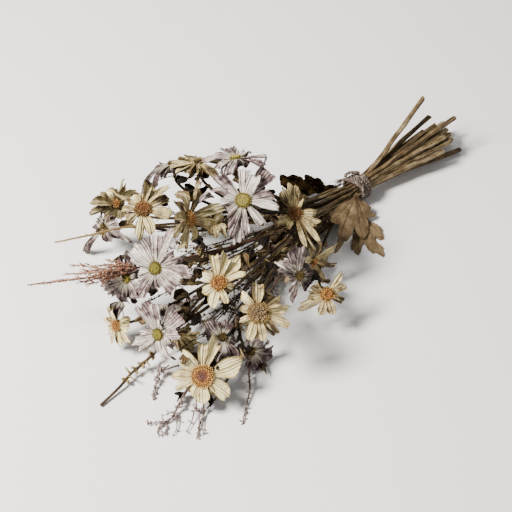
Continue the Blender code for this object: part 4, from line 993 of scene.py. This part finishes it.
def build_scraps(stems, names, material):
    """Withered leaf scraps that still hang on the stems between the flowers and the tie."""
    dice = seeded("scraps")
    for name, count, near, far in names:
        heap = Heap()
        for number in range(count):
            line = stems[dice.integers(len(stems))]
            reach = (line[:, 0] > TIE[0] + near) & (line[:, 0] < TIE[0] + far)
            spots = np.flatnonzero(reach)[2:-2]
            if not len(spots):
                continue
            at = spots[dice.integers(len(spots))]
            ahead = unit(line[at - 2, :3] - line[at + 2, :3])
            out = unit(np.cross(ahead, dice.normal(size=3)))
            matrix = np.stack([ahead, np.cross(out, ahead), out], -1)
            petal = (dice.normal(0, 22), dice.uniform(6, 18), dice.uniform(2.6, 8))
            lean = (dice.uniform(0, 35), dice.uniform(-35, 40))
            petal_strip(heap, matrix, line[at, :3], (0, 0.9 * line[at, 3]), petal, CUTS["scrap"], lean,
                        dice.uniform(0.2, 0.9), dice)
        heap.piece(name, material, "brown_leaf")


def build_fallen(stems, finishes, stalk):
    """Withered petals and crumpled leaves among the flowers, each on a thin stalk from a stem."""
    dice = seeded("fallen")
    heaps = {tone: Heap() for tone in finishes}
    stalks = Heap()
    spots = np.concatenate([line[:-40, :3] for line in stems])
    # The dark sheets, near black, are partly dark scraps and partly painted shade in the gaps between the
    # flowers.
    for tone, place, compass, length, width, *rest in FALLEN:
        age, lean = (*rest, *USUAL[len(rest):])
        matrix = np.array(Matrix.Rotation(math.radians(compass), 3, "Z"))
        place = TIE + place
        petal_strip(heaps[tone], matrix, place, (0, 0), (0, length, width), CUTS["scrap"], lean, age, dice)
        neck = branch(nearest(spots, place), place + matrix @ (0.6, 0, 0), 0.06, dice, steps=8)
        add_tube(stalks, neck, np.linspace(0.55, 0.35, 8), 5, dice.uniform(0, 1))
    for tone, (material, slot) in finishes.items():
        heaps[tone].piece("loose_" + tone, material, slot)
    stalks.piece("loose_stalks", stalk, "stem")


# ---- Tie -----------------------------------------------------------------------------------

def ply_pair(heap, line, radius, dice):
    """Two plies twisted round each other along a line, and the short fibres that stand off them."""
    ahead, side, rise = frames(line)
    far = walk(line)
    turn = 2 * math.pi * far / PLY_PITCH
    for half in (0, math.pi):
        offset = side * np.cos(turn + half)[:, None] + rise * np.sin(turn + half)[:, None]
        thick = radius * 0.64 * (1 + 0.08 * ripple(far, 0 * far, 9, dice))
        add_tube(heap, line + offset * radius * 0.42, thick, 9, dice.uniform(0, 1),
                 dice.uniform(0.88, 1.08, 9), 0.9)
    for number in range(int(far[-1] / 2.4)):
        at = dice.integers(2, len(line) - 2)
        angle = dice.uniform(0, 2 * math.pi)
        out = side[at] * math.cos(angle) + rise[at] * math.sin(angle)
        aim = unit(out * dice.uniform(0.3, 1) + ahead[at] * dice.normal(0, 1))
        start = line[at] + out * radius * 0.8
        fibre = branch(start, start + aim * dice.uniform(1.2, 4.0), dice.normal(0, 0.3), dice, steps=5)
        add_tube(heap, fibre, np.linspace(0.09, 0.05, 5), 3, dice.uniform(0, 1))


def around_tie(x, degrees, reach):
    """A point this far along the tie and from its middle line, at an angle from its top."""
    turn = math.radians(degrees)
    middle = (tie_low[2] + tie_high[2]) / 2
    return TIE[0] + x, TIE[1] + reach * math.sin(turn), middle + reach * math.cos(turn)


def build_twine(material):
    """Two-ply twine: the wound turns, not quite even, the frayed tail and the small loop."""
    dice = seeded("twine")
    count = TURNS * 44
    turn = np.arange(count + 1) / count
    shift = 0.35 * np.sin(2 * math.pi * TURNS * turn + 1) + 0.3 * np.sin(2 * math.pi * 1.7 * turn)
    along = (turn - 0.5) * TURNS * TURN_RISE + shift
    coil = np.array([around_tie(x, 360 * TURNS * share, TWINE_LOOP - 0.1) for x, share in zip(along, turn)])
    heap = Heap()
    ply_pair(heap, coil, TWINE / 2, dice)
    heap.piece("twine_turns", material, "twine", "twine_wrap")
    surface = TWINE_LOOP + TWINE / 2 + TAIL + TAIL_GAP
    for name, route in TWINE_ENDS.items():
        line = smooth([around_tie(x, degrees, surface + lift) for x, degrees, lift in route], 0.7)
        heap = Heap()
        ply_pair(heap, line, TAIL * 1.15, dice)
        if name == "twine_tail":
            ahead = unit(line[0] - line[3])
            for number in range(FRAYED):
                aim = ahead + dice.normal(0, 0.36, 3)
                start = line[2] + dice.normal(0, 0.5, 3)
                fibre = branch(start, start + aim * dice.uniform(3, 8), dice.normal(0, 0.1), dice, steps=6)
                add_tube(heap, fibre, np.linspace(0.2, 0.08, 6), 3, dice.uniform(0, 1))
        heap.piece(name + "_dressed", material, "twine", name)


# ---- Leaves --------------------------------------------------------------------------------

def inside(points, loop):
    """Which points lie inside a closed outline."""
    after = np.roll(loop, -1, axis=0)
    x, y = points[:, 0, None], points[:, 1, None]
    crossed = (loop[:, 1] > y) != (after[:, 1] > y)
    rise = np.where(after[:, 1] == loop[:, 1], 1e-9, after[:, 1] - loop[:, 1])
    ahead = x < loop[:, 0] + (y - loop[:, 1]) / rise * (after[:, 0] - loop[:, 0])
    return (crossed & ahead).sum(1) % 2 == 1


def rim_distance(points, loop):
    """How far each point is from an outline's own points."""
    return np.array([np.min(np.hypot(*(loop - spot).T)) for spot in points])


def vein_lines(mains, dice):
    """Points along the main veins of a leaf and the side veins that leave them in turn."""
    lines = []
    for end in mains:
        end = np.array(end, float)
        length = np.linalg.norm(end)
        ahead = end / length
        side = np.array((-ahead[1], ahead[0]))
        t = np.linspace(0, 1, int(length))[:, None]
        bow = side * dice.normal(0, 0.03) * length
        main = end * t + bow * 4 * t * (1 - t)
        lines.append(np.column_stack([main, np.linspace(1, 0.5, len(main))]))
        for place in np.arange(6, length - 3, 4.2):
            sign = 1 if int(place) % 2 else -1
            lead = ahead * 0.75 + side * sign * 0.66
            reach = np.linspace(0, min(13, 4 + 0.4 * (length - place)), 12)[:, None]
            start = main[int(place / length * (len(main) - 1))]
            lines.append(np.column_stack([start + lead * reach + ahead * reach ** 2 * 0.012,
                                          np.linspace(0.6, 0.25, 12)]))
    return np.concatenate(lines)


def leaf_edge(outline, tooth, pitch, scalloped):
    """A leaf's outline in steps of LEAF_STEP, with teeth along it from past its stalk on."""
    loop = straight([(along, across, 0) for along, across in outline + outline[:1]], LEAF_STEP)[:-1, :2]
    run = unit(np.roll(loop, -1, axis=0) - np.roll(loop, 1, axis=0))
    way = np.sign((loop[:, 0] * run[:, 1] - loop[:, 1] * run[:, 0]).sum())
    outward = np.stack([run[:, 1], -run[:, 0]], -1) * way
    far = np.arange(len(loop)) * LEAF_STEP / pitch
    teeth = np.abs(np.sin(math.pi * far)) - 0.6 if scalloped else (far % 1) ** 1.3 - 0.5
    blade = np.clip((loop[:, 0] - 5) / 6, 0, 1)
    return loop + outward * (tooth * teeth * blade)[:, None]


def leaf_net(loop, dice):
    """Points over a leaf, its edge's own first, and the triangles between them."""
    low, high = loop.min(0), loop.max(0)
    grid = np.meshgrid(*(np.arange(low[axis], high[axis], LEAF_GRAIN) for axis in (0, 1)))
    grid = np.stack(grid, -1).reshape(-1, 2)
    grid = grid + dice.uniform(-0.25, 0.25, grid.shape)
    grid = grid[inside(grid, loop)]
    grid = grid[rim_distance(grid, loop) > 0.55]
    flat = [Vector(spot) for spot in np.concatenate([loop, grid])]
    made = geometry.delaunay_2d_cdt(flat, [], [list(range(len(loop)))], 1, 1e-4)
    spots = np.array([tuple(spot) for spot in made[0]])
    faces = np.array([face for face in made[2] if len(face) == 3])
    side = np.cross(spots[faces[:, 1]] - spots[faces[:, 0]], spots[faces[:, 2]] - spots[faces[:, 0]])
    faces[side < 0] = faces[side < 0][:, ::-1]
    return spots, faces


def leaf_shell(faces, count):
    """Faces of a closed leaf: its front, its back and the wall round its edge."""
    edges = np.concatenate([faces[:, (0, 1)], faces[:, (1, 2)], faces[:, (2, 0)]]).tolist()
    ways = {tuple(edge) for edge in edges}
    border = np.array([edge for edge in edges if (edge[1], edge[0]) not in ways])
    walls = np.stack([border[:, 1], border[:, 0], border[:, 0] + count, border[:, 1] + count], -1)
    return faces.tolist() + (faces[:, ::-1] + count).tolist() + walls.tolist()


def build_leaf(name, material, slot):
    """A dried lobed leaf: toothed edge, raised veins, cockled between them, folded and curled."""
    base, aim, bend, tooth, pitch, outline, mains = LEAVES[name]
    dice = seeded(name)
    loop = leaf_edge(outline, tooth, pitch, slot == "dark_leaf")
    spots, faces = leaf_net(loop, dice)
    x, y = spots.T
    rim = rim_distance(spots, loop)

    veins = vein_lines(mains, dice)
    gap = np.hypot(x[:, None] - veins[:, 0], y[:, None] - veins[:, 1])
    vein = (veins[:, 2] * np.exp(-(gap / (0.45 + 0.55 * veins[:, 2])) ** 2)).max(1)
    trough = (veins[:, 2] * np.exp(-(gap / 1.6) ** 2)).max(1)
    fold, curl = (math.radians(angle) for angle in bend)
    z = -np.abs(y) * math.tan(fold) - curl * x ** 2 / (2 * max(outline)[0])
    z = z + 0.7 * ripple(x, y, 19, dice) + 0.2 * ripple(x, y, 8, dice) - 0.35 * trough
    z = z + np.exp(-rim / 2.2) * 1.1 * ripple(x, y, 13, dice)

    compass, pitch_up, roll = (math.radians(angle) for angle in aim)
    turn = (Matrix.Rotation(compass, 3, "Z") @ Matrix.Rotation(-pitch_up, 3, "Y")
            @ Matrix.Rotation(roll, 3, "X"))
    middle = np.stack([x, y, z], -1) @ np.array(turn).T + TIE + base
    middle[:, 2] = settled(middle[:, 2], 0.6)
    square = np.cross(middle[faces[:, 1]] - middle[faces[:, 0]], middle[faces[:, 2]] - middle[faces[:, 0]])
    normal = np.zeros_like(middle)
    for corner in range(3):
        np.add.at(normal, faces[:, corner], square)
    normal = unit(normal) * LEAF_THICK / 2
    points = np.concatenate([middle + normal, middle - normal * (1 + 1.2 * vein[:, None])])
    lie = np.tile(np.stack([x, y, 0 * x], -1), (2, 1))
    part = np.tile(np.stack([vein, x / x.max(), np.exp(-rim / 1.2)], -1), (2, 1))
    heap = Heap()
    heap.add(points, leaf_shell(faces, len(spots)), lie, part, np.repeat((0.0, 1.0), len(spots)))
    heap.piece(name + "_blade", material, slot, name)


# ---- Finishes ------------------------------------------------------------------------------

def linear(colour):
    """A linear colour from its sRGB hex value."""
    shares = (int(colour[place:place + 2], 16) / 255 for place in (1, 3, 5))
    return (*(share / 12.92 if share <= 0.04045 else ((share + 0.055) / 1.055) ** 2.4 for share in shares), 1)


def put(tree, kind, *feeds, stops=(), **named):
    """A node with its settings and links: its inputs in their order, then settings and inputs by name.

    An input is fed a value, a hex colour, a node or a socket.
    """
    node = tree.nodes.new("ShaderNode" + kind)
    for number, (place, colour) in enumerate(stops):
        stop = node.color_ramp.elements[number] if number < 2 else node.color_ramp.elements.new(place)
        stop.position = place
        stop.color = linear(colour)
    for name, feed in (*named.items(), *enumerate(feeds)):
        if str(name).islower():
            setattr(node, name, feed)
            continue
        socket = node.inputs[name.replace("_", " ") if isinstance(name, str) else name]
        if isinstance(feed, bpy.types.Node):
            feed = feed.outputs[0]
        if isinstance(feed, bpy.types.NodeSocket):
            tree.links.new(feed, socket)
        else:
            socket.default_value = linear(feed) if isinstance(feed, str) else feed
    return node


def started(name):
    """A new material, its node tree, and the notes that its pieces carry on their points."""
    material = bpy.data.materials.new(name)
    material.use_nodes = True
    tree = material.node_tree
    tree.nodes.clear()
    lie = put(tree, "Attribute", attribute_name="lie").outputs["Vector"]
    part = put(tree, "Attribute", attribute_name="part").outputs["Vector"]
    back = put(tree, "Attribute", attribute_name="back").outputs["Fac"]
    return material, tree, lie, put(tree, "SeparateXYZ", part).outputs, back


def layered(tree, colour, *layers):
    """A colour under layers of others, each as (what says where it shows, the values at which it
    starts and is full, how strong it is at each, its tint).
    """
    for value, low, high, least, most, tint in layers:
        cover = put(tree, "MapRange", value, low, high, least, most)
        colour = put(tree, "MixRGB", cover, colour, tint)
    return colour


def finished(tree, colour, rough, height, depth, **surface):
    """The surface of a material, from its colour, roughness and relief (depth in mm)."""
    bump = put(tree, "Bump", Height=height, Distance=depth * MM, Strength=1.0)
    skin = put(tree, "BsdfPrincipled", Base_Color=colour, Roughness=rough, Normal=bump, **surface)
    put(tree, "OutputMaterial", Surface=skin)


def dried_petal(name, ages, root, vein, spot, rim, soft_tint, back_tint, line_gap, bold, depth):
    """Daisy petal dried in the air on its stem: thin, matt and papery, with lengthwise veins.

    To the eye: a tinted root, dark veins and soft bands along it, pale ridges between them,
    blotches where it aged, a browner rim and a back of its own tint in patches, which on the lilac
    and cream petals is darker: painted shade of their undersides. ages are its colours from fresh
    to old, line_gap the spacing of the veins in mm, about twice the real one so that they show,
    and bold how strongly they stand out.
    """
    material, tree, lie, (tint, along, edge), back = started(name)
    drawn = put(tree, "VectorMath", lie, (1, 0.11, 1), operation="MULTIPLY")
    streak = put(tree, "TexNoise", Vector=drawn, Scale=0.60, Detail=4, Roughness=0.65)
    blotch = put(tree, "TexNoise", Vector=lie, Scale=0.15, Detail=3, Roughness=0.6)
    flecks = put(tree, "TexNoise", Vector=lie, Scale=0.55, Detail=3, Roughness=0.7)
    lines = put(tree, "TexWave", Vector=drawn, Scale=0.314 / line_gap, Distortion=3.5,
                Detail=2, Detail_Scale=0.8, Detail_Roughness=0.6)
    age = put(tree, "Math", blotch, 1.7, tint, operation="MULTIPLY_ADD")
    age = put(tree, "Math", age, 0.85, operation="SUBTRACT")
    colour = put(tree, "ValToRGB", age, stops=ages)
    colour = layered(tree, colour, (along, 0.05, 0.42, 0.85, 0, root),
                     (streak, 0.36, 0.46, 0.55, 0, ages[0][1]))
    soft = put(tree, "MapRange", streak, 0.47, 0.66, 0, 0.8 * bold)
    colour = put(tree, "MixRGB", soft, colour, soft_tint, blend_type="MULTIPLY")
    thin = put(tree, "Math", lines, 1.9, operation="POWER")
    strong = put(tree, "MapRange", streak, 0.30, 0.58, 0, bold)
    veins = put(tree, "Math", thin, strong, operation="MULTIPLY")
    colour = put(tree, "MixRGB", veins, colour, vein)
    frayed = put(tree, "Math", blotch, 0.5, edge, operation="MULTIPLY_ADD")
    colour = layered(tree, colour, (flecks, 0.61, 0.69, 0, 0.8, spot), (frayed, 1.02, 1.28, 0, 0.8, rim))
    # The back tint, in patches: on the lilac and cream petals it is painted shade of their undersides.
    behind = put(tree, "MapRange", blotch, 0.35, 0.6, 0.5, 1)
    behind = put(tree, "Math", back, behind, operation="MULTIPLY")
    colour = put(tree, "MixRGB", behind, colour, back_tint)
    relief = put(tree, "Math", streak, 1.2, thin, operation="MULTIPLY_ADD")
    rough = put(tree, "MapRange", blotch, 0, 1, 0.62, 0.9)
    finished(tree, colour, rough, relief, depth, Specular_IOR_Level=0.15)
    return material


def dried_florets(name, rings, gap, light):
    """The crowded florets of a dried daisy disc: matt, crumbly, with painted shade down between them.

    To the eye: rings of colour from the middle out, each floret a little lighter or darker,
    some paler towards their tops.
    """
    material, tree, lie, (tint, share, height), _ = started("disc_" + name)
    grit = put(tree, "TexNoise", Vector=lie, Scale=1.3, Detail=3, Roughness=0.7)
    where = put(tree, "Math", grit, 0.16, share, operation="MULTIPLY_ADD")
    tops = put(tree, "Math", tint, height, operation="MULTIPLY")
    # The gap colour at the foot of each floret and on the dome between them is painted shade.
    colour = layered(tree, put(tree, "ValToRGB", where, stops=rings),
                     (tops, 0.45, 1.0, 0, 0.4, light), (height, 0, 0.75, 0.8, 0, gap))
    finished(tree, colour, 0.88, grit, 0.25, Specular_IOR_Level=0.25)
    return material


def dried_stalk(name, dark, body, light, pith, grain, depth, shade_lift=0.4):
    """Herb stem or twig dried in the air: ridged skin with long fibres, dull, streaked.

    To the eye: streaks along it `grain` mm wide, dark patches, and a pale sunken pith where it
    was cut. It is paler by `shade_lift` from its middle on, so darker towards its start, which on
    a stem is the flower end: painted shade under the flower heads. The dark patches are partly
    scars in the skin, partly painted shade for the dark gaps between the stems.
    pale sunken pith where it was cut.
    """
    material, tree, lie, (tint, along, cut), _ = started(name)
    drawn = put(tree, "VectorMath", lie, (1, 1, 0.07), operation="MULTIPLY")
    fibre = put(tree, "TexNoise", Vector=drawn, Scale=0.6 / grain, Detail=5, Roughness=0.6)
    patch = put(tree, "TexNoise", Vector=lie, Scale=0.07, Detail=3, Roughness=0.6)
    # Dark patches at random: partly scars, partly painted shade for the gaps between the stems.
    scars_and_shade = put(tree, "TexNoise", Vector=lie, Scale=0.45, Detail=4, Roughness=0.7)
    tone = put(tree, "Math", patch, 0.7, fibre, operation="MULTIPLY_ADD")
    tone = put(tree, "Math", tint, 0.2, tone, operation="MULTIPLY_ADD")
    # Paler from its middle on, darker towards its start: painted shade near the flowers.
    pale = put(tree, "MapRange", along, 0.2, 0.5, 0.04, shade_lift)
    tone = put(tree, "Math", pale, tone, operation="ADD")
    tone = put(tree, "MapRange", tone, 0.92, 1.5)
    colour = put(tree, "ValToRGB", tone, stops=((0, dark), (1, light), (0.5, body)))
    colour = layered(tree, colour, (scars_and_shade, 0.56, 0.66, 0, 0.8, dark))
    colour = put(tree, "MixRGB", cut, colour, pith)
    rough = put(tree, "MapRange", fibre, 0, 1, 0.6, 0.85)
    finished(tree, colour, rough, fibre, depth, Specular_IOR_Level=0.3)
    return material


def dried_buds(name, dark, body, light):
    """Tiny dried buds and scales of a spray: matt, faded, darker where they sit on the twig."""
    material, tree, lie, (tint, _, height), _ = started(name)
    grit = put(tree, "TexNoise", Vector=lie, Scale=1.1, Detail=3, Roughness=0.7)
    tone = put(tree, "Math", grit, 0.6, tint, operation="MULTIPLY_ADD")
    tone = put(tree, "Math", height, 0.35, tone, operation="MULTIPLY_ADD")
    tone = put(tree, "MapRange", tone, 0.35, 1.55)
    colour = put(tree, "ValToRGB", tone, stops=((0, dark), (1, light), (0.5, body)))
    finished(tree, colour, 0.9, grit, 0.2, Specular_IOR_Level=0.2, Sheen_Weight=0.2)
    return material


def dried_leaf(name, dark, body, light, vein, back_tint, depth, gloss=0.12):
    """Leaf dried in the air: brittle, dull, cockled between its veins, mottled, dark-veined.

    To the eye: blotches 5 to 15 mm across, fine cells between the veins, darker at the rim.
    """
    material, tree, lie, (ribs, _, edge), back = started(name)
    blotch = put(tree, "TexNoise", Vector=lie, Scale=0.09, Detail=4, Roughness=0.6)
    cells = put(tree, "TexVoronoi", feature="DISTANCE_TO_EDGE", Vector=lie, Scale=0.9)
    mottle = put(tree, "TexNoise", Vector=lie, Scale=0.7, Detail=4, Roughness=0.65)
    tone = put(tree, "Math", mottle, 0.5, blotch, operation="MULTIPLY_ADD")
    worn = put(tree, "Math", edge, blotch, operation="MULTIPLY")
    behind = put(tree, "Math", back, 0.5, operation="MULTIPLY")
    colour = put(tree, "ValToRGB", tone, stops=((0.50, dark), (1.05, light), (0.72, body)))
    colour = layered(tree, colour, (cells, 0.02, 0.12, 0.35, 0, vein))
    for cover, tint in ((ribs, vein), (worn, dark), (behind, back_tint)):
        colour = put(tree, "MixRGB", cover, colour, tint)
    relief = put(tree, "Math", mottle, 0.8, cells, operation="MULTIPLY_ADD")
    rough = put(tree, "MapRange", mottle, 0, 1, 0.6, 0.9)
    finished(tree, colour, rough, relief, depth, Specular_IOR_Level=gloss)
    return material


def spun_jute(name, dark, body, light, depth):
    """Two-ply jute twine: coarse bast fibres spun into plies, matt, each ply unevenly toned."""
    material, tree, lie, (tint, *_), _ = started(name)
    drawn = put(tree, "VectorMath", lie, (1, 1, 0.16), operation="MULTIPLY")
    fibre = put(tree, "TexNoise", Vector=drawn, Scale=2.4, Detail=4, Roughness=0.7)
    patch = put(tree, "TexNoise", Vector=lie, Scale=0.12, Detail=2)
    tone = put(tree, "Math", patch, 0.6, fibre, operation="MULTIPLY_ADD")
    tone = put(tree, "Math", tint, 0.15, tone, operation="MULTIPLY_ADD")
    colour = put(tree, "ValToRGB", tone, stops=((0.62, dark), (1.0, light), (0.86, body)))
    finished(tree, colour, 0.92, fibre, depth, Specular_IOR_Level=0.2, Sheen_Weight=0.25)
    return material


def matt_backdrop():
    """Seamless studio paper: almost white and quite even."""
    material, tree, *_ = started("studio_paper")
    place = put(tree, "TexCoord").outputs["Object"]
    tooth = put(tree, "TexNoise", Vector=place, Scale=600.0, Detail=2)
    colour = put(tree, "ValToRGB", tooth, stops=((0.2, "#f1f0ee"), (0.8, "#f6f5f3")))
    finished(tree, colour, 0.95, tooth, 0.02, Specular_IOR_Level=0.1)
    return material


# ---- The bouquet ---------------------------------------------------------------------------

# The lilac and cream back tints are dark: painted shade of the petals' undersides.
lilac = dried_petal("lilac_petal_air_dried",
                    ((0, "#ece6da"), (1, "#2c2022"), (0.32, "#cfc0b8"), (0.56, "#9c8a86"), (0.78, "#5c4b4c")),
                    "#e6dfc6", "#4d3f3e", "#2c211d", "#5d4c46", "#9a8788", "#3f3335", 2.2, 0.75, 0.8)
cream = dried_petal("cream_petal_air_dried",
                    ((0, "#f0e5b2"), (1, "#3a3024"), (0.30, "#decd94"), (0.58, "#b2a27c"), (0.82, "#746549")),
                    "#c2a874", "#655538", "#2a1e12", "#8a7144", "#bdab7e", "#463a28", 2.6, 0.38, 0.75)
scrap = dried_petal("withered_scrap",
                    ((0, "#a08c68"), (1, "#1f1610"), (0.35, "#75603f"), (0.65, "#463623")),
                    "#4a3925", "#2c2016", "#1c140e", "#3b2c1c", "#8a7858", "#7a6a50", 2.0, 0.9, 0.5)
# Near black: partly dark scraps, partly painted shade filling the gaps between the flowers.
dark_scrap_and_shade = dried_petal("withered_dark_scrap_and_shade",
                         ((0, "#33261a"), (1, "#0c0806"), (0.5, "#1b130c")),
                         "#1c140e", "#0c0806", "#0a0705", "#1c140e", "#8a7858", "#6a5c48", 2.0, 0.9, 0.5)
bract = dried_petal("cup_bract_air_dried",
                    ((0, "#85774f"), (1, "#2c2116"), (0.5, "#5f5030")),
                    "#483b24", "#2f2516", "#261c12", "#3d3120", "#9a8a68", "#8f8468", 0.9, 0.8, 0.3)
# Discs: rings of colour, the gap colour (painted shade between the florets) and the paler top colour.
DISC_FINISH = {look: dried_florets(look, rings, gap, light) for look, rings, gap, light in (
    ("olive", ((0, "#9c8e48"), (1, "#7c6c30"), (0.55, "#a79a52")), "#4a3f1e", "#b5aa66"),
    ("green", ((0, "#7f772e"), (1, "#675a26"), (0.5, "#888036")), "#3c3614", "#9a9148"),
    ("dull", ((0, "#5c4a26"), (1, "#4a3a20"), (0.5, "#6b5830")), "#241a0e", "#8c7648"),
    ("amber", ((0, "#8f6034"), (1, "#b88d55"), (0.5, "#b37c46")), "#472a12", "#cca268"),
    ("brown", ((0, "#704c2e"), (1, "#927148"), (0.5, "#8a5e38")), "#3a2413", "#a98054"),
    ("rust", ((0, "#966a46"), (1, "#b98c4a"), (0.5, "#b57c42")), "#4c2c14", "#cd9e5c"),
    ("rose", ((0, "#93775e"), (1, "#a5874c"), (0.6, "#a78f6a")), "#524030", "#c4b08c"),
    ("eye", ((0, "#84626a"), (1, "#cb9f5c"), (0.42, "#8a5a50"), (0.66, "#b57f48")), "#5c3a20", "#d8b078"),
)}
stem_skin = dried_stalk("flower_stem_air_dried", "#100a05", "#5a482c", "#9c8d6c", "#ad9a70", 0.9, 0.5, 0.28)
straw_skin = dried_stalk("straw_air_dried", "#78623c", "#a68c58", "#cbb47f", "#dccb9c", 0.9, 0.25)
bark = dried_stalk("twig_bark", "#2a1d10", "#6b5836", "#9c8a5c", "#a8946c", 0.8, 0.4)
red_wood = dried_stalk("red_spray_twig", "#2c1b12", "#5f4030", "#8a644c", "#b08e70", 0.7, 0.25)
mauve_wood = dried_stalk("mauve_spray_twig", "#41342f", "#78675f", "#a3928a", "#b5a59a", 0.7, 0.25)
dark_wood = dried_stalk("bare_stalk_air_dried", "#120c07", "#463522", "#8a7652", "#8a7654", 0.8, 0.4, 0.5)
red_scales = dried_buds("red_spray_scales", "#54301f", "#95654c", "#c39c82")
mauve_buds = dried_buds("mauve_spray_buds", "#57474a", "#927f7d", "#bcaca8")
dark_buds = dried_buds("bare_stalk_buds", "#100b08", "#33281c", "#66553f")
brown_leaf = dried_leaf("brown_leaf_air_dried", "#4d3d2a", "#836d4e", "#b09a76", "#2b1f13", "#8a7354", 0.35)
# Near black: partly the leaf's own dark colour, partly painted shade of leaves lying facing away in shadow.
dark_leaf = dried_leaf("dark_leaf_air_dried", "#020100", "#070403", "#3a2d18", "#010100", "#0a0604", 0.3, 0.0)
jute = spun_jute("twine_two_ply_jute", "#1e1510", "#5e4e43", "#9a8878", 0.5)

for flower, (kind, look, *_) in FLOWERS.items():
    build_petals(flower, lilac if kind == "lilac" else cream)
    build_centre(flower, DISC_FINISH[look])
    build_cup(flower, bract)
stems = [build_stem("stem_" + flower, stem_skin) for flower in FLOWERS]
build_red_spray(red_wood, red_scales)
for number in range(1, 5):
    build_mauve_spray(f"mauve_spray_{number}", mauve_wood, mauve_buds)
build_straw(straw_skin)
build_budded_twig(bark)
build_inner_sprigs(stems, {"mauve": (mauve_wood, mauve_buds), "red": (red_wood, red_scales),
                           "dark": (dark_wood, dark_buds)})
build_bare_stalks(stems, dark_wood, dark_buds)
build_scraps(stems, SCRAPS, scrap)
build_fallen(stems, {"petal": (cream, "cream_flower"), "grey": (lilac, "lilac_flower"),
                     "scrap": (scrap, "brown_leaf"), "dark": (dark_scrap_and_shade, "dark_leaf")}, dark_wood)
build_twine(jute)
for name in LEAVES:
    dark = name in ("dark_leaf", "curled_leaf")
    build_leaf(name, dark_leaf if dark else brown_leaf, "dark_leaf" if dark else "brown_leaf")


# ---- Studio --------------------------------------------------------------------------------

PAPER = 3               # half the width of the sheet of paper (m)
PAPER_POINTS = 41       # along each side of it


def build_floor():
    """A wide sheet of paper under the bouquet, slightly rounded up at its far edges."""
    side = np.linspace(-PAPER, PAPER, PAPER_POINTS)
    grid = np.stack(np.meshgrid(side, side), -1).reshape(-1, 2)
    rise = 0.25 * np.maximum(np.hypot(*grid.T) - 0.8 * PAPER, 0) ** 2
    mesh = bpy.data.meshes.new("floor")
    points = np.column_stack([grid, rise])
    front = sheet_faces(PAPER_POINTS, PAPER_POINTS)[:(PAPER_POINTS - 1) ** 2, ::-1]
    mesh.from_pydata(points.tolist(), [], front.tolist())
    mesh.shade_smooth()
    mesh.materials.append(matt_backdrop())
    floor = bpy.data.objects.new("floor", mesh)
    bpy.context.scene.collection.objects.link(floor)


LIT = Vector((-0.05, 0, 0.05))          # what the lights aim at (m)


def facing(place, target):
    """The turn of a light or a camera at a place that looks at a target."""
    return (target - Vector(place)).to_track_quat("-Z", "Y").to_euler()


def shine(name, place, size, power, tint):
    """A soft rectangular light aimed at the middle of the bouquet."""
    lamp = bpy.data.lights.new(name, "AREA")
    lamp.size = size
    lamp.energy = power
    lamp.color = linear(tint)[:3]
    light = bpy.data.objects.new(name, lamp)
    light.location = place
    light.rotation_euler = facing(light.location, LIT)
    bpy.context.scene.collection.objects.link(light)


CAMERA_PLACE = (-640.65, -543.37, 841.59)       # from the tie, above the flowers and in front
CAMERA_TARGET = (-160.70, -28.69, 60)

build_floor()
shine("key", (-1.05, 0.5, 1.35), 0.5, 100, "#fffaf3")
shine("fill", (-0.6, -1.6, 0.9), 1.4, 5, "#f6f7ff")
shine("back", (1.2, 1.0, 0.9), 1.0, 8, "#ffffff")
world = bpy.data.worlds.new("studio")
world.use_nodes = True
world.node_tree.nodes["Background"].inputs["Color"].default_value = linear("#e8e8e8")
world.node_tree.nodes["Background"].inputs["Strength"].default_value = 0.26
bpy.context.scene.world = world

camera = bpy.data.objects.new("camera", bpy.data.cameras.new("camera"))
bpy.context.scene.collection.objects.link(camera)
camera.data.lens = 85
camera.location = Vector(TIE + CAMERA_PLACE) * MM
camera.rotation_euler = facing(camera.location, Vector(TIE + CAMERA_TARGET) * MM)
bpy.context.scene.camera = camera
